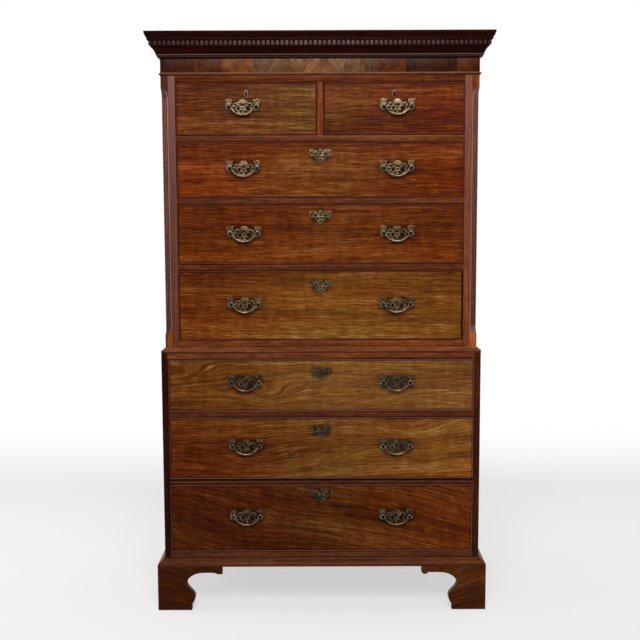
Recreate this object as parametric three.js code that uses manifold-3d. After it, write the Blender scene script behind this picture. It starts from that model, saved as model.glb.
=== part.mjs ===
// A chest on chest: a lower case of three long drawers on bracket feet, and an upper case of
// two short and three long drawers, with fluted canted corners, under a dentil cornice.
// Millimetres, +Z up. The drawers open towards -Y, and the origin lies on the floor under
// the middle of the whole piece.

import * as THREE from 'three';
import { mergeVertices } from 'three/addons/utils/BufferGeometryUtils.js';
import Module from 'manifold-3d';

const wasm = await Module();
wasm.setup();

// Heights: of the whole, of the lower case's top from the floor, and of what lies between
// the drawers. The openings take up the rest by their shares, listed from the bottom up.

const overallHeight = 1879;
const lowerCaseTop = 862;
const footHeight = 148;
const baseMouldingHeight = 27;
const bottomRailHeight = 17;
const lowerRailHeight = 16;
const lowerTopRailHeight = 22.7;
const waistMouldingHeight = 12;
const upperBottomRailHeight = 24;
const upperRailHeight = 18.5;
const upperTopRailHeight = 21;
const astragalHeight = 10;
const friezeHeight = 45;
const lowerOpeningShares = [0.374, 0.34, 0.286];
const upperOpeningShares = [0.297, 0.253, 0.234, 0.216];

// Heights of the cornice, from the frieze up

const corniceBeadHeight = 6;
const coveHeight = 19;
const dentilFilletHeight = 6;
const dentilHeight = 14.5;
const coronaHeight = 7.5;
const corniceFaceHeight = 13;
const corniceTopHeight = 6;

// Widths, depths and reaches of the cases and mouldings

const lowerWidth = 1041;
const lowerDepth = 545;
const setback = 13;
const baseProjection = 22.5;
const waistProjection = 1;
const astragalProjection = 4.5;
const coveReach = 24.5;
const dentilBandReach = 26;
const dentilDepth = 5;
const coronaReach = 36.5;
const corniceReach = 44;

// Boards of the cases

const sideThickness = 19.5;
const backThickness = 12;
const facingThickness = 22;
const railDepth = 60;
const dustboardThickness = 9;
const topBoardThickness = 18;
const topBoardDrop = 6;
const partitionThickness = 18.5;
const guideHeight = 20;
const housing = 6;
const cornerPostDepth = 46;
const cantWidth = 20.5;
const stileWidth = 24.5;

// Feet

const footThickness = 24;
const footToe = 112;
const footArm = 214;
const footPlinth = 20;
const glueBlockWidth = 48;
const glueBlockRise = 4;

// Drawers

const frontGap = 1.5;
const frontThickness = 20;
const cockBeadWidth = 4;
const cockBeadProud = 3;
const drawerSideThickness = 9;
const drawerBottomThickness = 6;
const drawerBottomRise = 9;
const drawerSideDrop = 5;
const drawerBackDrop = 12;
const drawerEndRoom = 15;

// Brasses

const brassThickness = 2.2;
const handleOffset = 247;
const postSpacing = 88.9;
const plateRise = 27;
const pivotStandoff = 14.5;
const headRadius = 4.2;
const postNeckRadius = 2.2;
const collarRadius = 5.2;
const pinRadius = 1.4;
const swanNeckRadius = 1.8;
const swanNeckRise = 2.6;
const bowRadius = 2.5;
const bowDrop = 23.3;
const keyholeRadius = 1.9;
const keyholeSlotDepth = 8;
const keyholeCutDepth = 12;
const escutcheonWidth = 78;
const escutcheonDrop = 38;

// How far each drawer's handles sit above its middle, and its keyhole below its top, listed
// as the openings are

const lowerHandleRises = [4, 5, 8];
const upperHandleRises = [2, 1, 3, 5];
const lowerKeyDrops = [26, 35, 35];
const upperKeyDrops = [40, 30, 34, 32];

// Clearances, and how far a cutting tool runs past what it cuts

const seat = 0.1;
const runningClearance = 0.3;
const pinClearance = 0.35;
const swanNeckClearance = 0.9;
const overrun = 2;

// Counts and shares

const dentilPitch = 15;
const dentilToothShare = 0.6;
const fluteCount = 3;
const fluteRadiusShare = 0.36;
const keyholeSlotShare = 0.63;
const backboardCount = 5;
const rodSides = 5;
const turnedSides = 6;
const keyholeSides = 7;
const tongueSteps = 5;
const curveSteps = 3;
const brassSteps = 2;

// The right half of a backplate, as shares of half the post spacing across and of the rise
// up. After the starting point, each row is a line, a quadratic or a cubic by its points.
const backplateShares = [
  [[0, 1]],
  [[0.25, 1], [0.38, 0.63]],
  [[0.56, 0.8], [0.75, 0.61]],
  [[0.77, 1.15], [1.01, 1.15]],
  [[1.27, 1.15], [1.25, 0.48]],
  [[1.42, 0.26], [1.33, -0.15], [1.15, -0.35]],
  [[0.99, -0.48], [0.83, -0.24]],
  [[0.63, -0.26], [0.315, -0.67]],
  [[0.16, -0.76], [0, -0.77]],
];

// The holes on the right side of a backplate, as shares of the same two sizes
const sideHoleShares = [
  [[0.3, 0.15], [0.2, 0.42], [0.1, 0.15], [0.2, -0.13]],
  [[0.555, 0.17], [0.46, 0.48], [0.365, 0.17], [0.46, -0.145]],
  [[0.74, 0.43], [0.64, 0.22], [0.64, -0.07], [0.755, -0.12]],
];

// The holes across the middle of a backplate: their right halves, with shares as above
const middleHoleShares = [
  [[0, 0.83], [0.117, 0.61], [0, 0.39]],
  [[0.055, -0.14], [0.144, -0.33], [0.063, -0.6], [0.045, -0.32]],
];

// The right half of an escutcheon about its keyhole, as shares of half its width and of its
// drop below the key
const escutcheonShares = [
  [[0, 0.29]],
  [[0.21, 0.29], [0.28, 0.1]],
  [[0.44, 0.26], [0.56, 0.13]],
  [[0.8, 0.25]],
  [[1.08, 0.05], [1.03, -0.32], [0.77, -0.45]],
  [[0.46, -0.38]],
  [[0.2, -0.71]],
  [[0.18, -0.9], [0, -1]],
];
const wingHoleShares = [
  [[0.85, 0.08], [0.72, -0.03], [0.73, -0.21], [0.86, -0.16]],
  [[0.43, -0.13], [0.345, 0.03], [0.26, -0.13], [0.345, -0.29]],
];
const pointHoleShares = [[0, -0.36], [0.09, -0.53], [0, -0.7]];

// Levels and planes that follow from the sizes

const sum = (sizes) => sizes.reduce((total, size) => total + size, 0);

// The levels between which each opening of a stack lies, from the bottom up.
function openingLevels([floor, top], shares, railHeight) {
  const room = top - floor - railHeight * (shares.length - 1);
  return shares.map((share, i) => {
    const bottom = floor + sum(shares.slice(0, i)) * room + railHeight * i;
    return [bottom, bottom + share * room];
  });
}

const faceTop = overallHeight - corniceTopHeight;
const coronaTop = faceTop - corniceFaceHeight;
const dentilTop = coronaTop - coronaHeight;
const dentilBottom = dentilTop - dentilHeight;
const coveTop = dentilBottom - dentilFilletHeight;
const coveBottom = coveTop - coveHeight;
const corniceBottom = coveBottom - corniceBeadHeight * 2;
const friezeBottom = corniceBottom - friezeHeight;
const astragalBottom = friezeBottom - astragalHeight;
const shortTop = astragalBottom - upperTopRailHeight;
const upperFloor = lowerCaseTop + waistMouldingHeight + upperBottomRailHeight;
const upperStack = [upperFloor, shortTop];
const upperOpenings = openingLevels(upperStack, upperOpeningShares, upperRailHeight);
const shortFloor = upperOpenings.at(-1)[0];
const upperBottom = lowerCaseTop + seat;
const upperTop = overallHeight - topBoardDrop;
const lowerTopRailBottom = lowerCaseTop - lowerTopRailHeight;
const lowerFloor = footHeight + baseMouldingHeight + bottomRailHeight;
const lowerStack = [lowerFloor, lowerTopRailBottom];
const lowerOpenings = openingLevels(lowerStack, lowerOpeningShares, lowerRailHeight);
const lowerBottom = footHeight + seat;

const lowerHalf = lowerWidth / 2;
const upperHalf = lowerHalf - setback;
const lowerOpeningHalf = lowerHalf - sideThickness;
const upperInnerHalf = upperHalf - sideThickness;
const upperOpeningHalf = upperHalf - cantWidth - stileWidth;
const backPlane = (lowerDepth - setback + corniceReach) / 2;
const lowerFront = backPlane - lowerDepth;
const upperFront = lowerFront + setback;
const boardsBack = backPlane - backThickness - seat;
const shoulder = housing / 2;

// Materials

const finish = (color, roughness, metalness) => (
  new THREE.MeshStandardMaterial({ color, roughness, metalness })
);
const mahogany = finish('#6b3a18', 0.35, 0);
const darkMahogany = finish('#431a0c', 0.35, 0);
const oak = finish('#9a7448', 0.7, 0);
const pine = finish('#8a6a45', 0.8, 0);
const brass = finish('#96804f', 0.4, 1);
const darkBrass = finish('#614d30', 0.45, 1);

// Solids

// The closed solid of a geometry, with its corners merged and the slivers at any pole left out.
function solidOf(geometry) {
  const bare = geometry.index ? geometry.toNonIndexed() : geometry.clone();
  bare.deleteAttribute('normal');
  bare.deleteAttribute('uv');
  const merged = mergeVertices(bare);
  const corners = merged.index.array;
  const triangles = [];
  for (let i = 0; i < corners.length; i += 3) {
    const [a, b, c] = corners.slice(i, i + 3);
    if (a !== b && b !== c && c !== a) triangles.push(a, b, c);
  }
  return new wasm.Manifold(new wasm.Mesh({
    numProp: 3,
    vertProperties: new Float32Array(merged.attributes.position.array),
    triVerts: new Uint32Array(triangles),
  }));
}

// The geometry of a solid, with flat shading.
function geometryOf(solid) {
  const { vertProperties, triVerts } = solid.getMesh();
  const indexed = new THREE.BufferGeometry();
  indexed.setAttribute('position', new THREE.BufferAttribute(vertProperties, 3));
  indexed.setIndex(new THREE.BufferAttribute(triVerts, 1));
  const geometry = indexed.toNonIndexed();
  geometry.computeVertexNormals();
  return geometry;
}

// One geometry from several that overlap or touch.
function join(geometries) {
  return geometryOf(geometries.map(solidOf).reduce((whole, next) => whole.add(next)));
}

// A geometry with others taken away from it.
function cut(geometry, cutters) {
  return geometryOf(cutters.map(solidOf).reduce(
    (whole, next) => whole.subtract(next),
    solidOf(geometry),
  ));
}

// A square-edged board between two limits along each axis.
function board([x0, x1], [y0, y1], [z0, z1]) {
  const geometry = new THREE.BoxGeometry(x1 - x0, y1 - y0, z1 - z0);
  geometry.translate((x0 + x1) / 2, (y0 + y1) / 2, (z0 + z1) / 2);
  return geometry;
}

// A geometry and its mirror image across the plane x = 0.
function mirrorX(geometry) {
  const mirrored = geometry.index ? geometry.toNonIndexed() : geometry.clone();
  mirrored.deleteAttribute('uv');
  mirrored.scale(-1, 1, 1);
  const { array } = mirrored.attributes.position;
  for (let i = 0; i < array.length; i += 9) {
    const second = array.slice(i + 3, i + 6);
    array.copyWithin(i + 3, i + 6, i + 9);
    array.set(second, i + 6);
  }
  mirrored.computeVertexNormals();
  return mirrored;
}

// A closed body through rings of points that all follow one flat outline. The ends are
// capped, or meet each other where the rings run round in a loop.
function loft(rings, outline, loops = false) {
  const count = outline.length;
  const spans = loops ? rings.length : rings.length - 1;
  const triangles = [];
  for (let i = 0; i < spans; i += 1) {
    const here = rings[i];
    const next = rings[(i + 1) % rings.length];
    for (let j = 0; j < count; j += 1) {
      const k = (j + 1) % count;
      triangles.push([here[j], next[j], next[k]], [here[j], next[k], here[k]]);
    }
  }
  if (!loops) {
    const [start, end] = [rings[0], rings.at(-1)];
    const way = Math.sign(THREE.ShapeUtils.area(outline));
    for (const [a, b, c] of THREE.ShapeUtils.triangulateShape(outline, [])) {
      const agrees = way * THREE.ShapeUtils.area([outline[a], outline[b], outline[c]]) > 0;
      const [second, third] = agrees ? [b, c] : [c, b];
      triangles.push([start[a], start[second], start[third]]);
      triangles.push([end[a], end[third], end[second]]);
    }
  }
  const volume = sum(triangles.map(([a, b, c]) => a.dot(b.clone().cross(c))));
  const facing = triangles.map(([a, b, c]) => (volume < 0 ? [a, c, b] : [a, b, c]));
  const geometry = new THREE.BufferGeometry().setFromPoints(facing.flat());
  geometry.computeVertexNormals();
  return geometry;
}

// A moulding whose profile of (outward, up) points runs along a plan of (x, y) corners, with
// the outside on the right of the way it runs and mitres at the corners.
function moulding(profile, plan, loops = false) {
  const rings = plan.map((corner, i) => {
    const before = plan[(i + plan.length - 1) % plan.length];
    const after = plan[(i + 1) % plan.length];
    const arriving = corner.clone().sub(before).normalize();
    const leaving = after.clone().sub(corner).normalize();
    const first = (i > 0 || loops) ? arriving : leaving;
    const second = (i < plan.length - 1 || loops) ? leaving : arriving;
    const out = new THREE.Vector2(first.y + second.y, -first.x - second.x);
    out.divideScalar(1 + first.dot(second));
    return profile.map((point) => new THREE.Vector3(
      corner.x + out.x * point.x,
      corner.y + out.y * point.x,
      point.y,
    ));
  });
  return loft(rings, profile, loops);
}

// The plan that a moulding follows round the sides and front of a case.
function threeSides(half, front) {
  return [
    new THREE.Vector2(-half, backPlane),
    new THREE.Vector2(-half, front),
    new THREE.Vector2(half, front),
    new THREE.Vector2(half, backPlane),
  ];
}

// The points of an outline drawn by a function that is given a path at its start.
function drawn(x, y, draw, steps = curveSteps) {
  const path = new THREE.Path();
  path.moveTo(x, y);
  draw(path);
  return path.getPoints(steps);
}

// The points of rows of shares. The first row is the start, and each of the others is a
// line, a quadratic or a cubic, by how many points it has.
function traced(rows, across, up, steps) {
  const scaled = rows.map((row) => row.map(([x, y]) => [x * across, y * up]));
  return drawn(...scaled[0][0], (path) => {
    for (const row of scaled.slice(1)) {
      const draw = [path.lineTo, path.quadraticCurveTo, path.bezierCurveTo][row.length - 1];
      draw.apply(path, row.flat());
    }
  }, steps);
}

// The corners of a straight-sided hole, from shares of two sizes.
function holeOf(shares, across, up) {
  return shares.map(([x, y]) => new THREE.Vector2(x * across, y * up));
}

const reflected = (points) => (
  points.map((point) => new THREE.Vector2(-point.x, point.y)).reverse()
);

// An outline that is the same on both sides, from the points of its right half in order.
function mirroredOutline(rightHalf) {
  return [...rightHalf, ...reflected(rightHalf.filter((point) => point.x > 0))];
}

// A flat plate standing in the XZ plane, with its back at y = 0 and its front towards -Y.
function standingPlate(outline, thickness) {
  const shape = new THREE.Shape(outline);
  const geometry = new THREE.ExtrudeGeometry(shape, { depth: thickness, bevelEnabled: false });
  geometry.rotateX(Math.PI / 2);
  return geometry;
}

// A standing plate pierced by holes.
function piercedPlate(outline, holes, thickness) {
  const cutters = holes.map((hole) => (
    standingPlate(hole, thickness + overrun * 2).translate(0, overrun, 0)
  ));
  return cut(standingPlate(outline, thickness), cutters);
}

function mesh(name, geometry, material) {
  const made = new THREE.Mesh(geometry, material);
  made.name = name;
  return made;
}

// Feet: each is two bracket faces and a glue block in the corner

// One bracket face, its outer edge on x = 0 and its toe on the floor. The inner edge rises
// from the toe in a round, goes back in a hollow, and runs out under the arm to a bead.
function bracketOutline() {
  return drawn(0, 0, (path) => {
    path.lineTo(footToe, 0);
    path.lineTo(footToe, footPlinth);
    path.bezierCurveTo(
      footToe * 1.16, footPlinth * 1.5,
      footToe * 1.14, footHeight * 0.4,
      footToe * 0.96, footHeight * 0.465,
    );
    path.bezierCurveTo(
      footToe * 0.8, footHeight * 0.55,
      footToe * 0.8, footHeight * 0.74,
      footToe * 1.05, footHeight * 0.81,
    );
    path.quadraticCurveTo(footToe * 1.35, footHeight * 0.89, footArm * 0.86, footHeight * 0.85);
    path.quadraticCurveTo(footArm * 0.98, footHeight * 0.79, footArm, footHeight * 0.82);
    path.lineTo(footArm, footHeight);
    path.lineTo(0, footHeight);
  });
}

// The plain bracket across the back of a rear foot.
function rearBracketOutline() {
  return drawn(0, 0, (path) => {
    path.lineTo(footToe * 0.6, 0);
    path.lineTo(footArm * 0.8, footHeight * 0.8);
    path.lineTo(footArm * 0.8, footHeight);
    path.lineTo(0, footHeight);
  });
}

// A foot with its outer corner on the Z axis. It reaches towards +X, and towards +Y if it
// is a front foot or towards -Y if it is a rear one.
function foot(isFront) {
  const along = standingPlate(bracketOutline(), footThickness);
  along.rotateZ(isFront ? Math.PI / 2 : -Math.PI / 2);
  along.translate(isFront ? 0 : footThickness, 0, 0);
  const across = standingPlate(isFront ? bracketOutline() : rearBracketOutline(), footThickness);
  across.translate(0, isFront ? footThickness : 0, 0);
  const inner = footThickness - shoulder;
  const outer = inner + glueBlockWidth;
  const depth = isFront ? [inner, outer] : [-outer, -inner];
  return join([across, along, board([inner, outer], depth, [glueBlockRise, footHeight])]);
}

function feet() {
  const outerHalf = lowerHalf + baseProjection;
  return [['front', lowerFront - baseProjection], ['rear', backPlane]].flatMap(([end, y]) => {
    const left = foot(end === 'front').translate(-outerHalf, y, 0);
    return [
      mesh(`foot_${end}_left`, left, mahogany),
      mesh(`foot_${end}_right`, mirrorX(left), mahogany),
    ];
  });
}

// Base moulding: an ogee over a plain face, round three sides of the lower case

function baseMoulding() {
  const bottom = lowerBottom;
  const top = footHeight + baseMouldingHeight;
  const profile = drawn(seat, bottom, (path) => {
    path.lineTo(baseProjection, bottom);
    path.lineTo(baseProjection, bottom + baseMouldingHeight * 0.1);
    path.bezierCurveTo(
      baseProjection * 0.98, bottom + baseMouldingHeight * 0.42,
      baseProjection * 0.22, bottom + baseMouldingHeight * 0.62,
      baseProjection * 0.16, top,
    );
    path.lineTo(seat, top);
  });
  return mesh('base_moulding', moulding(profile, threeSides(lowerHalf, lowerFront)), mahogany);
}

// Waist moulding: a round under an ogee slope, round the foot of the upper case. A tongue
// joins it to the top of the lower case.

function waistMoulding() {
  const reach = setback + waistProjection;
  const top = lowerCaseTop + waistMouldingHeight;
  const round = waistMouldingHeight * 0.35;
  const profile = drawn(seat, lowerCaseTop - housing, (path) => {
    path.lineTo(setback - overrun, lowerCaseTop - housing);
    path.lineTo(setback - overrun, lowerCaseTop);
    path.lineTo(reach - round * 0.3, lowerCaseTop);
    path.bezierCurveTo(
      reach + round * 0.1, lowerCaseTop,
      reach + round * 0.1, lowerCaseTop + round,
      reach - round * 0.4, lowerCaseTop + round,
    );
    path.bezierCurveTo(reach * 0.8, top - round, reach * 0.3, top - round * 0.5, reach * 0.15, top);
    path.lineTo(seat, top);
  });
  return moulding(profile, threeSides(upperHalf, upperFront));
}

// Cases

// A facing or rail across the front of a case, housed in its sides.
function rail(half, front, depth, levels) {
  return board([-half - housing, half + housing], [front, front + depth], levels);
}

// A board from behind the front of a case to its back, housed in its sides.
function shelf(half, from, levels) {
  return board([-half - housing, half + housing], [from, boardsBack], levels);
}

function lowerCarcass() {
  const half = lowerOpeningHalf;
  const side = board([half, lowerHalf], [lowerFront, backPlane], [lowerBottom, lowerCaseTop]);
  const dividers = lowerOpenings.slice(1).flatMap(([level]) => [
    rail(half, lowerFront, railDepth, [level - lowerRailHeight, level]),
    shelf(half, lowerFront + railDepth - housing, [level - dustboardThickness, level]),
  ]);
  return mesh('lower_carcass', join([
    side,
    mirrorX(side),
    rail(half, lowerFront, facingThickness, [lowerBottom, lowerFloor]),
    shelf(half, lowerFront, [lowerFloor - bottomRailHeight, lowerFloor]),
    ...dividers,
    rail(half, lowerFront, railDepth, [lowerTopRailBottom, lowerCaseTop]),
    shelf(half, lowerFront, [lowerCaseTop - topBoardThickness, lowerCaseTop]),
    waistMoulding(),
  ]), mahogany);
}

// The tool that cuts the cant from the upper right corner and dies out at each end in a
// quarter round. At every level it is a triangle behind a slanting line.
function cantCutter([bottom, top], tongueLength) {
  const steps = Array.from({ length: tongueSteps + 1 }, (_, i) => i / tongueSteps);
  const turns = steps.map((share) => (Math.PI / 2) * share);
  const tongue = turns.map((turn) => [1 - Math.cos(turn), Math.sin(turn)]);
  const rise = tongue.map(([share, depth]) => [bottom + tongueLength * share, depth]);
  const fall = tongue.toReversed().map(([share, depth]) => [top - tongueLength * share, depth]);
  const section = (depth) => [
    new THREE.Vector2(upperHalf - depth - overrun, upperFront - overrun),
    new THREE.Vector2(upperHalf + overrun, upperFront - overrun),
    new THREE.Vector2(upperHalf + overrun, upperFront + depth + overrun),
  ];
  const rings = [...rise, ...fall].map(([level, depth]) => (
    section(depth * cantWidth).map((point) => new THREE.Vector3(point.x, point.y, level))
  ));
  return loft(rings, section(cantWidth));
}

// The flutes run up the face of the cant, side by side, with round ends.
function fluteCutters([bottom, top]) {
  const pitch = (cantWidth * Math.SQRT2) / (fluteCount + 0.5);
  const radius = pitch * fluteRadiusShare;
  return Array.from({ length: fluteCount }, (_, i) => {
    const along = (i - (fluteCount - 1) / 2) * pitch * Math.SQRT1_2;
    const flute = new THREE.CapsuleGeometry(radius, top - bottom, 1, turnedSides);
    flute.rotateX(Math.PI / 2);
    flute.translate(
      upperHalf - cantWidth / 2 + along,
      upperFront + cantWidth / 2 + along,
      (bottom + top) / 2,
    );
    return flute;
  });
}

// The upper right corner of the case: its side and the fluted post at its front.
function upperCorner() {
  const height = [upperBottom, upperTop];
  const depth = [upperFront, upperFront + cornerPostDepth];
  const tongueLength = cantWidth * 1.25;
  const blockHeight = cantWidth * 0.95;
  const cant = [upperFloor + blockHeight, shortTop - blockHeight];
  const flutes = [cant[0] + tongueLength * 1.6, cant[1] - tongueLength * 1.6];
  const solid = join([
    board([upperInnerHalf, upperHalf], [upperFront, backPlane], height),
    board([upperOpeningHalf, upperHalf], depth, height),
  ]);
  return cut(solid, [cantCutter(cant, tongueLength), ...fluteCutters(flutes)]);
}

function astragal() {
  const profile = drawn(-housing, astragalBottom, (path) => {
    path.lineTo(0, astragalBottom);
    path.bezierCurveTo(
      astragalProjection * 1.3, astragalBottom,
      astragalProjection * 1.3, friezeBottom,
      0, friezeBottom,
    );
    path.lineTo(-housing, friezeBottom);
  });
  return moulding(profile, threeSides(upperHalf, upperFront));
}

function upperCarcass() {
  const corner = upperCorner();
  const half = partitionThickness / 2;
  const behindPosts = upperFront + cornerPostDepth - housing;
  const across = (depth, levels) => rail(upperOpeningHalf, upperFront, depth, levels);
  const dividers = upperOpenings.slice(1).flatMap(([level]) => [
    across(railDepth, [level - upperRailHeight, level]),
    shelf(upperInnerHalf, behindPosts, [level - dustboardThickness, level]),
  ]);
  const guides = upperOpenings.map(([level]) => board(
    [upperOpeningHalf, upperInnerHalf + housing],
    [behindPosts, boardsBack],
    [level - shoulder, level + guideHeight],
  ));
  const bottomBoard = [upperFloor - topBoardThickness, upperFloor];
  const kicker = [shortTop, shortTop + dustboardThickness];
  const topBoard = [upperTop - topBoardThickness, upperTop];
  return mesh('upper_carcass', join([
    corner,
    mirrorX(corner),
    across(facingThickness, [upperBottom, upperFloor]),
    across(railDepth, bottomBoard),
    shelf(upperInnerHalf, behindPosts, bottomBoard),
    ...dividers,
    ...guides,
    ...guides.map(mirrorX),
    board([-half, half], [upperFront, boardsBack], [shortFloor - shoulder, shortTop + shoulder]),
    across(facingThickness, [shortTop, upperTop]),
    across(railDepth, kicker),
    shelf(upperInnerHalf, behindPosts, kicker),
    shelf(upperInnerHalf, upperFront + facingThickness - housing, topBoard),
    astragal(),
  ]), mahogany);
}

// Backboards: upright boards with a V joint between each two, let in between the sides

function backboards(name, half, [bottom, top]) {
  const boardWidth = (half * 2) / backboardCount;
  const groove = backThickness * 0.25;
  const front = boardsBack + seat;
  const outline = [new THREE.Vector2(half, front), new THREE.Vector2(half, backPlane)];
  for (let i = backboardCount - 1; i > 0; i -= 1) {
    const x = i * boardWidth - half;
    outline.push(new THREE.Vector2(x + groove, backPlane));
    outline.push(new THREE.Vector2(x, backPlane - groove));
    outline.push(new THREE.Vector2(x - groove, backPlane));
  }
  outline.push(new THREE.Vector2(-half, backPlane), new THREE.Vector2(-half, front));
  const panel = new THREE.ExtrudeGeometry(new THREE.Shape(outline), {
    depth: top - bottom,
    bevelEnabled: false,
  });
  panel.translate(0, 0, bottom);
  return mesh(name, panel, pine);
}

// Cornice: two beads, a cove and a dentil band under a corona and a moulded top edge

function corniceProfile() {
  const bead = corniceBeadHeight;
  const middle = corniceBottom + bead;
  return drawn(seat, corniceBottom, (path) => {
    path.lineTo(bead, corniceBottom);
    path.quadraticCurveTo(bead * 1.7, corniceBottom + bead / 2, bead * 1.3, middle);
    path.quadraticCurveTo(bead * 2.4, coveBottom - bead / 2, bead * 2, coveBottom);
    path.quadraticCurveTo(coveReach * 0.68, coveTop - coveHeight * 0.42, coveReach, coveTop);
    path.lineTo(dentilBandReach, coveTop);
    path.lineTo(dentilBandReach, dentilTop);
    path.lineTo(coronaReach, dentilTop);
    path.lineTo(coronaReach, coronaTop);
    path.quadraticCurveTo(
      corniceReach * 0.92, coronaTop + corniceFaceHeight * 0.3,
      corniceReach - bead * 0.2, faceTop,
    );
    path.lineTo(corniceReach, faceTop);
    path.lineTo(corniceReach, overallHeight);
    path.lineTo(seat, overallHeight);
  });
}

// One straight row of dentils as a comb with its teeth towards -Y, a whole tooth at each
// end. Its back is sunk in the band, and its top in the corona.
function dentilComb(length) {
  const gaps = Math.round(length / dentilPitch);
  const pitch = length / (gaps + dentilToothShare);
  const root = dentilDepth * 1.2;
  const back = dentilDepth * 1.5;
  const outline = [
    new THREE.Vector2(length, 0),
    new THREE.Vector2(length, back),
    new THREE.Vector2(0, back),
    new THREE.Vector2(0, 0),
  ];
  for (let i = 0; i < gaps; i += 1) {
    const start = (i + dentilToothShare) * pitch;
    const end = (i + 1) * pitch;
    outline.push(new THREE.Vector2(start, 0), new THREE.Vector2(start, root));
    outline.push(new THREE.Vector2(end, root), new THREE.Vector2(end, 0));
  }
  const comb = new THREE.ExtrudeGeometry(new THREE.Shape(outline), {
    depth: dentilHeight + coronaHeight / 4,
    bevelEnabled: false,
  });
  comb.translate(0, 0, dentilBottom);
  return comb;
}

function cornice() {
  const half = upperHalf + dentilBandReach + dentilDepth;
  const front = upperFront - dentilBandReach - dentilDepth;
  const across = dentilComb(half * 2).translate(-half, front, 0);
  const along = dentilComb(backPlane - front);
  along.rotateZ(Math.PI / 2);
  along.translate(half, front, 0);
  const rim = moulding(corniceProfile(), threeSides(upperHalf, upperFront));
  return mesh('cornice', join([rim, across, along, mirrorX(along)]), darkMahogany);
}

// Brasses, drawn about the middle between the posts, or about the keyhole

// A keyhole about the key's own axis: a round with a slot hanging from it.
function keyholeOutline() {
  const half = keyholeRadius * keyholeSlotShare;
  const meeting = Math.asin(keyholeSlotShare);
  const round = Array.from({ length: keyholeSides }, (_, i) => {
    const turn = meeting - Math.PI / 2 + ((Math.PI - meeting) * 2 * i) / (keyholeSides - 1);
    return new THREE.Vector2(Math.cos(turn) * keyholeRadius, Math.sin(turn) * keyholeRadius);
  });
  return [
    new THREE.Vector2(-half, -keyholeSlotDepth),
    new THREE.Vector2(half, -keyholeSlotDepth),
    ...round,
  ];
}

// A turned post standing on the backplate, with a round head bored from its outer side to
// take the end of the bail.
function handlePost() {
  const headBack = pivotStandoff - headRadius;
  const headFront = pivotStandoff + headRadius;
  const holeRadius = pinRadius + pinClearance;
  const turned = new THREE.LatheGeometry([
    new THREE.Vector2(0, brassThickness / 2),
    new THREE.Vector2(collarRadius, brassThickness / 2),
    new THREE.Vector2(postNeckRadius, brassThickness * 2.4),
    new THREE.Vector2(postNeckRadius, headBack),
    new THREE.Vector2(headRadius, pivotStandoff - headRadius * 0.4),
    new THREE.Vector2(headRadius, pivotStandoff + headRadius * 0.4),
    new THREE.Vector2(postNeckRadius, headFront),
    new THREE.Vector2(0, headFront),
  ], turnedSides);
  turned.rotateX(Math.PI);
  turned.rotateY(Math.PI / turnedSides);
  const hole = new THREE.CylinderGeometry(holeRadius, holeRadius, headRadius, turnedSides);
  hole.rotateZ(Math.PI / 2);
  hole.translate(headRadius * 0.6, -pivotStandoff, 0);
  return cut(turned, [hole]);
}

// The backplate: a fan over each post, a lobe outside it, a dome in the middle, and a lower
// edge that follows the bow of the bail. Its lattice has diamonds between crossed bars, a
// crescent on each side, and a ring with a bud hanging in it at the bottom.
function backplate() {
  const post = handlePost().translate(postSpacing / 2, 0, 0);
  const across = postSpacing / 2;
  const outline = mirroredOutline(traced(backplateShares, across, plateRise, brassSteps));
  const middle = middleHoleShares.map((shares) => (
    mirroredOutline(holeOf(shares, across, plateRise))
  ));
  const right = sideHoleShares.map((shares) => holeOf(shares, across, plateRise));
  const holes = [...middle, ...right, ...right.map(reflected)];
  return join([piercedPlate(outline, holes, brassThickness), post, mirrorX(post)]);
}

// A pierced escutcheon: a dome over the key, a wing on each side and a point below.
function escutcheon() {
  const across = escutcheonWidth / 2;
  const outline = mirroredOutline(traced(escutcheonShares, across, escutcheonDrop, brassSteps));
  const right = wingHoleShares.map((shares) => holeOf(shares, across, escutcheonDrop));
  const point = mirroredOutline(holeOf(pointHoleShares, across, escutcheonDrop));
  const holes = [keyholeOutline(), point, ...right, ...right.map(reflected)];
  return piercedPlate(outline, holes, brassThickness);
}

// The line of half a bail, from the end of its right pin to the middle of the bow. The pin
// turns up into the swan neck, which passes over the post's head and falls into the bow.
function halfBailLine() {
  const post = postSpacing / 2;
  const reach = headRadius + swanNeckClearance + swanNeckRadius;
  const neck = drawn(post + headRadius / 3, 0, (path) => {
    path.lineTo(post + reach - swanNeckRadius, 0);
    path.quadraticCurveTo(post + reach, 0, post + reach, swanNeckRise);
    path.absarc(post, swanNeckRise, reach, 0, Math.PI, false);
  }, brassSteps);
  const bow = drawn(post - reach, swanNeckRise, (path) => {
    path.bezierCurveTo(post - reach, -bowDrop * 0.35, post * 0.45, -bowDrop, 0, -bowDrop);
  });
  return [...neck, ...bow.slice(1)];
}

// The bail: its rod is thin at the pins, and swells towards the middle of the bow.
function bail() {
  const half = halfBailLine();
  const line = [...half, ...reflected(half.slice(0, -1))];
  const inner = half[half.length - 1 - curveSteps].x;
  const circle = Array.from({ length: rodSides }, (_, i) => {
    const turn = (i * 2 * Math.PI) / rodSides;
    return new THREE.Vector2(Math.cos(turn), Math.sin(turn));
  });
  const rings = line.map((point, i) => {
    const before = line[Math.max(i - 1, 0)];
    const after = line[Math.min(i + 1, line.length - 1)];
    const along = after.clone().sub(before).normalize();
    const swell = 1 - Math.min(Math.abs(point.x) / inner, 1);
    const isPin = Math.min(i, line.length - 1 - i) < 2;
    const radius = isPin ? pinRadius : THREE.MathUtils.lerp(swanNeckRadius, bowRadius, swell);
    return circle.map((c) => new THREE.Vector3(
      point.x - along.y * c.x * radius,
      c.y * radius - pivotStandoff,
      point.y + along.x * c.x * radius,
    ));
  });
  return loft(rings, circle);
}

// Drawers, each about the middle of the bottom edge of its opening, on the case's front

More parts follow.
